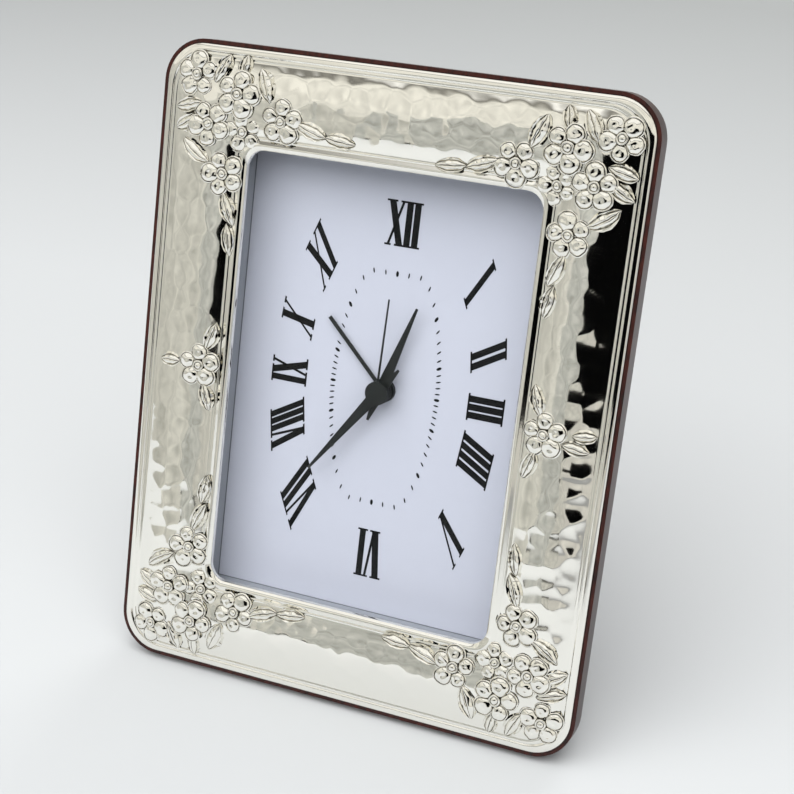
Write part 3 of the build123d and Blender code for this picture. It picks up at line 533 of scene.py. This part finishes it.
# Side sprays: the blossom as inset, size and turn, outer leaves of the left and the right side as
# inset, height, length, width and turn, and the leaf above and below the blossom
SIDE_BLOSSOM = (18.2, 1.06, 20)
OUTER_LEAVES = {
    -1: [(9.2, 0.2, 6.6, 4.6, 4)],
    1: [(9.2, -2.0, 7.8, 4.4, -8), (7.2, 1.6, 7.0, 4.2, 6)],
}
INNER_LEAF = (21.2, 8.8, 9.0, 4.8, 72, 0.1)

# Petals: ring they stand on, reach out and across, widening outwards, and the dome's rise and bulge
PETAL_RING = 3.4
PETAL_REACH = (2.85, 2.65)
PETAL_WIDENING = 0.14
PETAL_RISE = 1.15
PETAL_BULGE = (2.3, 0.75)

# Shares of a petal's reach where its dome would end, is cut off and its thin rim stands, and the
# rim's rise and fall
PETAL_DOME = 0.88
PETAL_EDGE = 0.8
PETAL_RIM = 0.92
RIM_RISE = 0.34
RIM_FALL = 4

# Dimple pressed into each petal: depth, place and spread
PETAL_DIMPLE = 0.3
DIMPLE_AT = 0.05
DIMPLE_SPREAD = 0.07

# Eye of a blossom: radius and lift of the bead, and radius, thickness and lift of the ring round it
EYE = 1.1
EYE_LIFT = 0.35
EYE_RING = 1.15 * EYE
EYE_RING_THICK = 0.3
EYE_RING_LIFT = 0.75

# Leaves: rise in millimetres, and as shares of rise and half width the floor, the rim's rise, place
# and spread, the lens's rise and width, and the midrib's cut and spread
LEAF_RISE = 1.6
LEAF_FLOOR = 0.3
LEAF_RIM = (0.5, 0.8, 0.13)
LEAF_LENS = (0.6, 0.6)
LEAF_RIB = (0.35, 0.09)

# Sizes of the five petals of three different blossoms
PETAL_SIZES = [
    (1.0, 0.88, 1.05, 0.92, 0.98), (0.9, 1.06, 0.94, 1.02, 0.86), (1.04, 0.94, 0.86, 1.0, 1.08),
]

# Each corner was stamped a little off true, to the right and up
STAMP_SHIFT = {
    (-1, 1): (1.2, 1.0), (1, 1): (0.2, -0.9), (-1, -1): (1.0, -0.3), (1, -1): (0.8, 0.2),
}

# How a form leans with the field: reach over which the slope is taken, and the share it follows
SLOPE_REACH = 2.0
SLOPE_SHARE = 0.6

# Unevenness of the hand chasing: size, depth and the seed that keeps it the same in every run
CHASING = 1.5
CHASING_DEPTH = 0.22
CHASING_SEED = 3
noise.seed_set(CHASING_SEED)


def petal_height(share):
    """Height of a petal from its middle to its rim: a dome, a fine groove and a thin edge."""
    if share < PETAL_EDGE:
        return PETAL_RISE * (1 - (share / PETAL_DOME) ** PETAL_BULGE[0]) ** PETAL_BULGE[1]
    return max(0.0, RIM_RISE - RIM_FALL * abs(share - PETAL_RIM))


def add_petal(turn, size):
    """One petal at a turn round the blossom, in the mesh that is being edited."""
    bpy.ops.mesh.select_all(action="DESELECT")
    bpy.ops.mesh.primitive_uv_sphere_add(segments=24, ring_count=28, radius=1)
    mesh = bmesh.from_edit_mesh(bpy.context.object.data)
    below = [vertex for vertex in mesh.verts if vertex.select and vertex.co.z < -0.01]
    bmesh.ops.delete(mesh, geom=below, context="VERTS")
    spin_round = Matrix.Rotation(turn, 3, "Z")
    for vertex in mesh.verts:
        if vertex.select:
            x, y, _ = vertex.co
            dimple = PETAL_DIMPLE * exp(-((x - DIMPLE_AT) ** 2 + y * y) / DIMPLE_SPREAD)
            level = petal_height(min(1.0, hypot(x, y))) - dimple
            across = y * PETAL_REACH[1] * size * (1 + PETAL_WIDENING * x)
            out = PETAL_RING + x * PETAL_REACH[0] * size
            vertex.co = spin_round @ Vector((out, across, level * size)) * MM
    bmesh.update_edit_mesh(bpy.context.object.data)


def model_blossom(sizes):
    """Five domed petals of these sizes round a ringed eye."""
    piece = start_piece("blossom")
    for petal, size in enumerate(sizes):
        add_petal(2 * pi * petal / 5, size)
    bpy.ops.mesh.primitive_uv_sphere_add(
        segments=20, ring_count=12, radius=EYE * MM, location=(0, 0, EYE_LIFT * MM)
    )
    bpy.ops.mesh.primitive_torus_add(
        major_radius=EYE_RING * MM, minor_radius=EYE_RING_THICK * MM, major_segments=24, minor_segments=8,
        location=(0, 0, EYE_RING_LIFT * MM),
    )
    bpy.ops.object.mode_set(mode="OBJECT")
    return piece


def model_leaf():
    """Almond leaf with a raised rim, an inner lens and a cut midrib, one unit long and wide."""
    piece = start_piece("leaf")
    bpy.ops.mesh.primitive_grid_add(x_subdivisions=28, y_subdivisions=20, size=2)
    bpy.ops.object.mode_set(mode="OBJECT")
    rim_rise, rim_at, rim_spread = LEAF_RIM
    lens_rise, lens_width = LEAF_LENS
    rib_cut, rib_spread = LEAF_RIB
    for vertex in piece.data.vertices:
        x, y, _ = vertex.co
        # These powers give the almond its pointed tips and its steep edge
        half = max(0.0, 1 - abs(x) ** 2.2) ** 0.9
        swell = (1 - y ** 6) * half ** 0.6
        rim = rim_rise * exp(-((abs(y) - rim_at) / rim_spread) ** 2)
        lens = lens_rise * max(0.0, 1 - (y / lens_width) ** 2)
        rib = rib_cut * exp(-((y / rib_spread) ** 2))
        vertex.co = (x / 2, y * half / 2, swell * (LEAF_FLOOR + rim + lens - rib))
    return piece


def border_level(u, v):
    """Height of the border over the rim plane at a point of the face."""
    return border_height(inset_of(u, v))


def spray_place(u, v, turn, lift=0.0):
    """Where a raised form stands on the border, following the slope of the field."""
    reach = SLOPE_REACH
    slope_u = (border_level(u + reach, v) - border_level(u - reach, v)) / (2 * reach)
    slope_v = (border_level(u, v + reach) - border_level(u, v - reach)) / (2 * reach)
    lean = Vector((-SLOPE_SHARE * slope_u, -SLOPE_SHARE * slope_v, 1)).normalized()
    tilt = Vector((0, 0, 1)).rotation_difference(lean).to_matrix().to_4x4()
    stand = Matrix.Translation(Vector((u, v, border_level(u, v) + lift)) * MM)
    return stand @ tilt @ Matrix.Rotation(radians(turn), 4, "Z")


def corner_place(side, end, inset_u, inset_v):
    """Point of the face at these insets in one corner, moved as that corner was stamped."""
    right, up = STAMP_SHIFT[side, end]
    return side * (BORDER[0] / 2 - inset_u) + right, end * (BORDER[1] / 2 - inset_v) + up


def copy_of(model, place, scale=(1, 1, 1), curve=0.0):
    """Copy of a modelled form with its own mesh, bent, put in its place and unevenly chased."""
    mesh = model.data.copy()
    for vertex in mesh.vertices:
        x, y, z = vertex.co.x * scale[0], vertex.co.y * scale[1], vertex.co.z * scale[2]
        # A twelfth is the mean square along a form of unit length, so bending keeps its middle
        y += curve * (x * x / scale[0] - scale[0] / 12)
        vertex.co = place @ Vector((x, y, z))
        vertex.co += CHASING_DEPTH * MM * noise.noise_vector(vertex.co / (CHASING * MM))
    made = bpy.data.objects.new(model.name, mesh)
    bpy.context.scene.collection.objects.link(made)
    return made


def silver_sprays():
    """Sprays of blossoms and leaves in the four corners and at the two sides."""
    blossoms = [model_blossom(sizes) for sizes in PETAL_SIZES]
    leaf = model_leaf()
    copies = []

    def put_blossom(u, v, size, turn, lift):
        blossom = blossoms[len(copies) % len(blossoms)]
        copies.append(copy_of(blossom, spray_place(u, v, turn, lift), (size, size, size)))

    def put_leaf(u, v, length, width, turn, curve):
        scale = (length * MM, width * MM, LEAF_RISE * MM)
        copies.append(copy_of(leaf, spray_place(u, v, turn), scale, curve))

    for side in (-1, 1):
        for end in (-1, 1):
            hand = -side * end
            for inset_u, inset_v, size, turn, lift in BLOSSOMS:
                u, v = corner_place(side, end, inset_u, inset_v)
                put_blossom(u, v, size, turn * hand, lift)
            for inset_u, inset_v, length, width, turn, curve in LEAVES:
                u, v = corner_place(side, end, inset_u, inset_v)
                put_leaf(u, v, length, width, turn * hand, curve * end)
        inset_u, size, turn = SIDE_BLOSSOM
        put_blossom(side * (BORDER[0] / 2 - inset_u), 0, size, turn, 0.0)
        for inset_u, rise, length, width, turn in OUTER_LEAVES[side]:
            put_leaf(side * (BORDER[0] / 2 - inset_u), rise, length, width, turn, 0.0)
        inset_u, rise, length, width, turn, curve = INNER_LEAF
        for end in (-1, 1):
            u = side * (BORDER[0] / 2 - inset_u)
            put_leaf(u, end * rise, length, width, -side * end * turn, curve)
    for model in (*blossoms, leaf):
        bpy.data.objects.remove(model)
    bpy.ops.object.select_all(action="DESELECT")
    for made in copies:
        made.select_set(True)
    piece = copies[0]
    bpy.context.view_layer.objects.active = piece
    bpy.ops.object.join()
    piece.name = "silver_sprays"
    finish_piece(piece, SILVER, smooth=radians(60))


silver_sprays()

# Wooden body: overhang past the silver, back level, back round, opening, rebate and front lip
BODY_OVERHANG = 1.1
BODY_BACK = -16.5
BODY_ROUND = 11.0
ROUND_STEPS = 14
OPENING = (95.6, 135.2)
OPENING_CORNER = 0.4
REBATE_EDGE = 2.8
REBATE_FLOOR = -13.4
LIP_LEVEL = -0.1
LIP_GAP = 0.1


def wood_frame():
    """Wooden body with a thin lip round the silver, a full round behind, the opening and the rebate."""
    piece = start_piece("wood_frame")
    width, height = BORDER[0] + 2 * BODY_OVERHANG, BORDER[1] + 2 * BODY_OVERHANG
    corner = BORDER_CORNER + BODY_OVERHANG
    outlines = [(width, height, corner, LIP_LEVEL)]
    for step in range(ROUND_STEPS + 1):
        turn = pi / 2 * step / ROUND_STEPS
        inset = BODY_ROUND * (1 - cos(turn))
        level = BODY_BACK + BODY_ROUND * (1 - sin(turn))
        outlines.append((width - 2 * inset, height - 2 * inset, corner - inset, level))
    rebate = [side + 2 * REBATE_EDGE for side in OPENING]
    outlines += [
        (*rebate, OPENING_CORNER, BODY_BACK), (*rebate, OPENING_CORNER, REBATE_FLOOR),
        (*OPENING, OPENING_CORNER, REBATE_FLOOR), (*OPENING, OPENING_CORNER, SEAT),
        (*outline_at(-LIP_GAP), SEAT), (*outline_at(-LIP_GAP), LIP_LEVEL),
    ]
    sweep(outlines)
    finish_piece(piece, MAHOGANY, smooth=radians(35))
    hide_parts("frame_body")


wood_frame()

# Numerals of the dial as text, middle, length along the hour line, clock angle of the serifs and width
NUMERALS = [
    ("XII", 0.2, 47.5, 12.8, 90, 9.8), ("I", 24.3, 34.5, 14.2, 157, 3.7),
    ("II", 29.4, 15.3, 11.5, 173.5, 5.6), ("III", 30.5, 0.1, 10.8, 180, 7.0),
    ("IIII", 29.3, -14.8, 11.0, 187, 10.4), ("V", 24.7, -38.4, 14.2, 200.6, 7.3),
    ("VI", 0.9, -48.9, 14.4, 270, 7.2), ("VII", -23.0, -35.5, 14.8, 337, 11.0),
    ("VIII", -28.8, -15.6, 11.9, 353, 11.4), ("IX", -29.8, 0.2, 11.2, 0, 7.0),
    ("X", -28.7, 15.8, 11.6, 6, 5.7), ("XI", -23.4, 35.0, 13.5, 20.7, 9.8),
]
LETTER_WIDTH = {"I": 1.0, "V": 2.2, "X": 2.2}
THICK_STROKE = 2.0
THIN_STROKE = 0.75
SERIF = 0.55
SERIF_REACH = 0.6

# Shares of a letter's unit: width of a stem, and how far in thick and thin slanting strokes stand
STEM_SHARE = 0.82
THICK_INSET = 0.4
THIN_INSET = 0.3

# How far the two feet of a V stand from its middle
FOOT_SPREAD = 0.2

# Minute track: an upright oval cut flat above and below, and the half lengths and widths of its marks
TRACK = (15.95, 39.5)
TRACK_TOP = 33.4
HOUR_MARK = (0.85, 0.42)
MINUTE_MARK = (0.78, 0.22)


def clock_way(angle):
    """Direction on the dial of a clock angle in degrees."""
    return Vector((sin(radians(angle)), cos(radians(angle))))


def add_quad(corners):
    """Flat four-cornered patch of ink on the dial, in the mesh that is being edited."""
    bpy.ops.mesh.select_all(action="DESELECT")
    bpy.ops.mesh.primitive_plane_add(size=1)
    mesh = bmesh.from_edit_mesh(bpy.context.object.data)
    fresh = [vertex for vertex in mesh.verts if vertex.select]
    fresh.sort(key=lambda vertex: atan2(vertex.co.y, vertex.co.x))
    for vertex, (u, v) in zip(fresh, corners):
        vertex.co = (u * MM, v * MM, (DIAL_FACE + INK) * MM)
    bmesh.update_edit_mesh(bpy.context.object.data)


def add_mark(middle, out, half_length, half_width):
    """Rounded mark of ink pointing out from the dial's middle, in the mesh that is being edited."""
    bpy.ops.mesh.select_all(action="DESELECT")
    bpy.ops.mesh.primitive_circle_add(vertices=12, radius=1, fill_type="NGON")
    across = Vector((out.y, -out.x))
    mesh = bmesh.from_edit_mesh(bpy.context.object.data)
    for vertex in mesh.verts:
        if vertex.select:
            u, v = middle + vertex.co.x * half_width * across + vertex.co.y * half_length * out
            vertex.co = (u * MM, v * MM, (DIAL_FACE + INK) * MM)
    bmesh.update_edit_mesh(bpy.context.object.data)


def numeral_strokes(text, width):
    """Strokes of a numeral as pairs of foot and head places with their widths."""
    unit = width / sum(LETTER_WIDTH[letter] for letter in text)
    strokes = []
    left = -width / 2
    for letter in text:
        right = left + LETTER_WIDTH[letter] * unit
        middle = (left + right) / 2
        if letter == "I":
            strokes.append((middle, middle, min(THICK_STROKE, STEM_SHARE * unit)))
        elif letter == "V":
            strokes.append((middle - FOOT_SPREAD, left + THICK_INSET * unit, THICK_STROKE))
            strokes.append((middle + FOOT_SPREAD, right - THIN_INSET * unit, THIN_STROKE))
        else:
            strokes.append((right - THICK_INSET * unit, left + THICK_INSET * unit, THICK_STROKE))
            strokes.append((left + THIN_INSET * unit, right - THIN_INSET * unit, THIN_STROKE))
        left = right
    return strokes


def add_numeral(text, middle, out, along, length, width):
    """Strokes and serifs of one numeral, in the mesh that is being edited."""

    def at(x, y):
        return middle + x * along + y * out

    end = length / 2
    for foot, head, thick in numeral_strokes(text, width):
        half = thick / 2
        base = [at(foot - half, -end), at(foot + half, -end)]
        add_quad(base + [at(head + half, end), at(head - half, end)])
        for place, low, high in ((foot, -end, SERIF - end), (head, end - SERIF, end)):
            left = place - half - SERIF_REACH
            right = place + half + SERIF_REACH
            add_quad([at(left, low), at(right, low), at(right, high), at(left, high)])


def dial_print():
    """Roman numerals and an oval minute track, printed on the dial."""
    piece = start_piece("dial_print")
    for hour, (text, mid_u, mid_v, length, serif_angle, width) in enumerate(NUMERALS):
        middle = Vector((mid_u, mid_v))
        add_numeral(text, middle, clock_way(30 * hour), clock_way(serif_angle), length, width)
    for minute in range(60):
        out = clock_way(6 * minute)
        reach = 1 / hypot(out.x / TRACK[0], out.y / TRACK[1])
        reach = min(reach, TRACK_TOP / max(abs(out.y), 0.01))
        add_mark(out * reach, out, *(MINUTE_MARK if minute % 5 else HOUR_MARK))
    finish_piece(piece, INK_BLACK)


dial_print()

# Ribbed grips of the knobs behind the movement
GRIP_RADIUS = 4.9
GRIP_GROOVE = 0.22
GRIP_RIBS = 30
GRIP_SPAN = (-34.5, -30.55)
GRIP_CHAMFER = 0.5

# Cell in its bay: height and depth of its axis, radius, span, and radius and length of its nub
CELL_AT = (27.6, -22.5)
CELL_RADIUS = 7.1
CELL_SPAN = (-23.9, 25.1)
CELL_NUB = (2.7, 1.2)

# How far the steel ends stand out of the sleeve and in from its edge, the nub's root, and the rounds
END_PROUD = 0.1
END_INSET = 1.1
NUB_ROOT = 1.0
SLEEVE_ROUND = 0.8
END_ROUND = 0.1
NUB_ROUND = 0.4


def knob_grip(name, joint_name, body):
    """Ribbed grip with a chamfered end round the head of a setting knob."""
    joint = next(row for row in frame["joints"] if row["name"] == joint_name)
    axis_at = FACE.inverted() @ Vector(joint["pos_m"])
    piece = start_piece(name)
    bpy.ops.mesh.primitive_cylinder_add(
        vertices=4 * GRIP_RIBS, radius=GRIP_RADIUS * MM, depth=(GRIP_SPAN[1] - GRIP_SPAN[0]) * MM
    )
    mesh = bmesh.from_edit_mesh(piece.data)
    for vertex in mesh.verts:
        turn = atan2(vertex.co.y, vertex.co.x) / (2 * pi) * GRIP_RIBS
        depth = GRIP_GROOVE * (0.5 + 0.5 * cos(2 * pi * turn))
        vertex.co.xy *= 1 - depth / GRIP_RADIUS
    bmesh.update_edit_mesh(piece.data)
    select_edges(lambda edge: edge.verts[0].co.z < 0 and edge.verts[1].co.z < 0)
    bpy.ops.mesh.bevel(offset=GRIP_CHAMFER * MM, segments=2)
    bpy.ops.mesh.select_all(action="SELECT")
    bpy.ops.transform.translate(value=(axis_at.x, axis_at.y, (GRIP_SPAN[0] + GRIP_SPAN[1]) / 2 * MM))
    finish_piece(piece, FINISHES["case"], body, smooth=radians(40))


def add_rod(radius, start, end, rounding):
    """Rod along the cell's axis with rounded ends, in the mesh that is being edited."""
    bpy.ops.mesh.select_all(action="DESELECT")
    bpy.ops.mesh.primitive_cylinder_add(
        vertices=48, radius=radius * MM, depth=(end - start) * MM, rotation=(0, pi / 2, 0),
        location=((start + end) / 2 * MM, CELL_AT[0] * MM, CELL_AT[1] * MM),
    )
    mesh = bmesh.from_edit_mesh(bpy.context.object.data)
    for edge in mesh.edges:
        along = abs(edge.verts[0].co.x - edge.verts[1].co.x) > 1e-6
        edge.select_set(edge.select and not along)
    bmesh.update_edit_mesh(bpy.context.object.data)
    bpy.ops.mesh.bevel(offset=rounding * MM, segments=3)


def battery():
    """Cell in the bay: a sleeved body, and its steel ends as a piece of their own."""
    sleeve = start_piece("battery_sleeve")
    bpy.ops.mesh.select_mode(type="EDGE")
    add_rod(CELL_RADIUS, CELL_SPAN[0] + END_PROUD, CELL_SPAN[1] - END_PROUD, SLEEVE_ROUND)
    finish_piece(sleeve, FINISHES["cell"], smooth=radians(40))
    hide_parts("battery")
    ends = start_piece("battery_ends")
    bpy.ops.mesh.select_mode(type="EDGE")
    add_rod(CELL_RADIUS - END_INSET, CELL_SPAN[0], CELL_SPAN[1], END_ROUND)
    add_rod(CELL_NUB[0], CELL_SPAN[1] - NUB_ROOT, CELL_SPAN[1] + CELL_NUB[1], NUB_ROUND)
    finish_piece(ends, FINISHES["steel"], smooth=radians(40))


knob_grip("setting_knob_grip", "setting_spin", "setting")
knob_grip("alarm_knob_grip", "alarm_setting_spin", "alarm_setting")
battery()

# Widths of small softened edges on moulded, sawn and stamped pieces that keep their own shape
SOFT_EDGES = {
    "movement_case": 0.35, "alarm_switch": 0.2, "strut_leg": 0.5, "back_board": 0.25,
    "turn_button_1": 0.2, "turn_button_2": 0.2, "turn_button_3": 0.2, "turn_button_4": 0.2,
}
for name, width in SOFT_EDGES.items():
    modifiers = frame["nodes"][name].modifiers
    weld = modifiers.new("weld", "WELD")
    weld.merge_threshold = WELD_GAP * MM
    soft = modifiers.new("soft_edge", "BEVEL")
    soft.width = width * MM
    soft.segments = 2
    soft.limit_method = "ANGLE"
    soft.angle_limit = radians(40)
    flat = modifiers.new("flat_faces", "WEIGHTED_NORMAL")
    flat.weight = 100

# Stage, in metres: what lights and panels face, the floor's size, and where painted shade darkens the floor behind
CENTRE = (0.0, 0.0, 0.09)
FLOOR_SIZE = 8
FLOOR_SHADE = (0.2, 0.75)

# Size in millimetres of the uneven patches of light on the panels
WALL_PATCH = 60.0

# Room that the silver mirrors: tones by height, from the horizon at 0 to straight overhead at 1
ROOM_TONES = [
    (0.0, "#CFCDC6"), (0.12, "#D6D4CD"), (0.3, "#EFEDE4"), (0.7, "#EDEBE2"),
    (0.75, "#85837C"), (0.8, "#FFFEFA"), (1.0, "#FFFEFA"),
]


def soft_light(name, place, size, power):
    """Square studio light facing the clock, left out of the silver's mirror."""
    lamp = bpy.data.lights.new(name, "AREA")
    lamp.size = size
    lamp.energy = power
    made = bpy.data.objects.new(name, lamp)
    bpy.context.scene.collection.objects.link(made)
    made.location = place
    made.rotation_euler = (Vector(CENTRE) - Vector(place)).to_track_quat("-Z", "Y").to_euler()
    made.visible_glossy = False


def card(name, place, width, height, dark, light):
    """Standing panel of the room, unevenly lit and seen only in reflections."""
    panel = start_piece(name)
    bpy.ops.mesh.primitive_plane_add(size=1)
    bpy.ops.object.mode_set(mode="OBJECT")
    panel.scale = (width, height, 1)
    panel.location = place
    panel.rotation_euler = (Vector(CENTRE) - Vector(place)).to_track_quat("Z", "Y").to_euler()
    bpy.ops.object.transform_apply(location=True, rotation=True, scale=True)
    finish = speckled(name, dark, light, WALL_PATCH, Roughness=1.0, Specular_IOR_Level=0.0)
    panel.data.materials.append(finish)
    panel.visible_camera = False
    panel.visible_diffuse = False
    panel.visible_shadow = False


def pale_floor():
    """Large pale floor that catches the shadow, with painted shade that darkens it a little behind the clock."""
    floor = start_piece("floor")
    bpy.ops.mesh.primitive_plane_add(size=FLOOR_SIZE)
    bpy.ops.object.mode_set(mode="OBJECT")
    made, tree, shader = start_material("floor", Roughness=0.7)
    place = add_node(tree, "ShaderNodeTexCoord").outputs["Object"]
    depth = add_node(tree, "ShaderNodeSeparateXYZ", {"Vector": place})
    share = add_node(
        tree, "ShaderNodeMapRange",
        {"Value": depth.outputs["Y"], "From Min": FLOOR_SHADE[0], "From Max": FLOOR_SHADE[1]},
    )
    # Painted shade: the floor's colour darkens with distance behind the clock, standing in for the fall of light
    tone = add_node(tree, "ShaderNodeValToRGB", {"Fac": share.outputs["Result"]})
    tone.color_ramp.elements[0].color = linear("#B5B7B7")
    tone.color_ramp.elements[1].color = linear("#969897")
    tree.links.new(tone.outputs["Color"], shader.inputs["Base Color"])
    floor.data.materials.append(made)


def studio_world():
    """Even soft light, and for eye and mirror a pale dappled room with a grey band high up."""
    world = bpy.data.worlds.new("studio")
    bpy.context.scene.world = world
    world.use_nodes = True
    tree = world.node_tree
    path = add_node(tree, "ShaderNodeLightPath").outputs
    seen = add_node(
        tree, "ShaderNodeMath", {0: path["Is Camera Ray"], 1: path["Is Glossy Ray"]}, operation="MAXIMUM"
    )
    seen = add_node(
        tree, "ShaderNodeMath", {0: seen.outputs[0], 1: path["Is Transmission Ray"]}, operation="MAXIMUM"
    )
    way = add_node(tree, "ShaderNodeTexCoord").outputs["Generated"]
    height = add_node(tree, "ShaderNodeSeparateXYZ", {"Vector": way})
    room = add_node(tree, "ShaderNodeValToRGB", {"Fac": height.outputs["Z"]})
    stops = room.color_ramp.elements
    stops[0].color = linear(ROOM_TONES[0][1])
    stops[1].color = linear(ROOM_TONES[-1][1])
    for position, tone in ROOM_TONES[1:-1]:
        stops.new(position).color = linear(tone)
    clutter = add_node(tree, "ShaderNodeTexNoise", {"Vector": way, "Scale": 9.0, "Detail": 3.0})
    dapple = add_node(
        tree, "ShaderNodeMapRange", {"Value": clutter.outputs["Fac"], "To Min": 0.5, "To Max": 1.5}
    )
    lighting = add_node(tree, "ShaderNodeBackground", {"Color": linear("#F4F5FA"), "Strength": 0.54})
    shown = add_node(
        tree, "ShaderNodeBackground",
        {"Color": room.outputs["Color"], "Strength": dapple.outputs["Result"]},
    )
    mixed = add_node(
        tree, "ShaderNodeMixShader",
        {"Fac": seen.outputs[0], 1: lighting.outputs["Background"], 2: shown.outputs["Background"]},
    )
    tree.links.new(mixed.outputs["Shader"], tree.nodes["World Output"].inputs["Surface"])


pale_floor()
studio_world()

# Lights as place, size and power, and panels as place, width, height and their two tones
soft_light("key", (-0.15, -0.56, 1.22), 1.6, 32)
soft_light("fill", (0.9, -0.5, 0.9), 0.8, 3)
soft_light("back", (0.2, 1.3, 0.9), 0.8, 9)
card("dark_doorway", (0.447, -1.005, 0.355), 0.631, 0.49, "#030303", "#050505")
card("dark_doorpost", (0.06, -1.09, 0.389), 0.3, 0.42, "#030303", "#050505")
card("grey_wall", (-0.222, -0.924, 0.25), 0.31, 0.62, "#6C6C66", "#EEEEE7")
card("far_wall", (-0.68, -0.68, 0.125), 2.2, 0.25, "#86847C", "#F8F6EC")
card("near_wall", (-0.42, -0.3, 0.15), 0.6, 0.3, "#86847C", "#F8F6EC")
card("table_edge", (-0.66, -0.66, 0.012), 2.1, 0.02, "#3E3C37", "#56544E")

# Camera where the photo was taken from
CAMERA_AT = (0.15839, -0.36462, 0.30637)
CAMERA_AIM = (0.00755, -0.00259, 0.08933)
camera = bpy.data.objects.new("camera", bpy.data.cameras.new("camera"))
camera.data.lens = 73.44
camera.data.sensor_width = 36.0
camera.location = CAMERA_AT
camera.rotation_euler = (Vector(CAMERA_AIM) - Vector(CAMERA_AT)).to_track_quat("-Z", "Y").to_euler()
bpy.context.scene.collection.objects.link(camera)
bpy.context.scene.camera = camera
bpy.context.scene.view_settings.view_transform = "Standard"
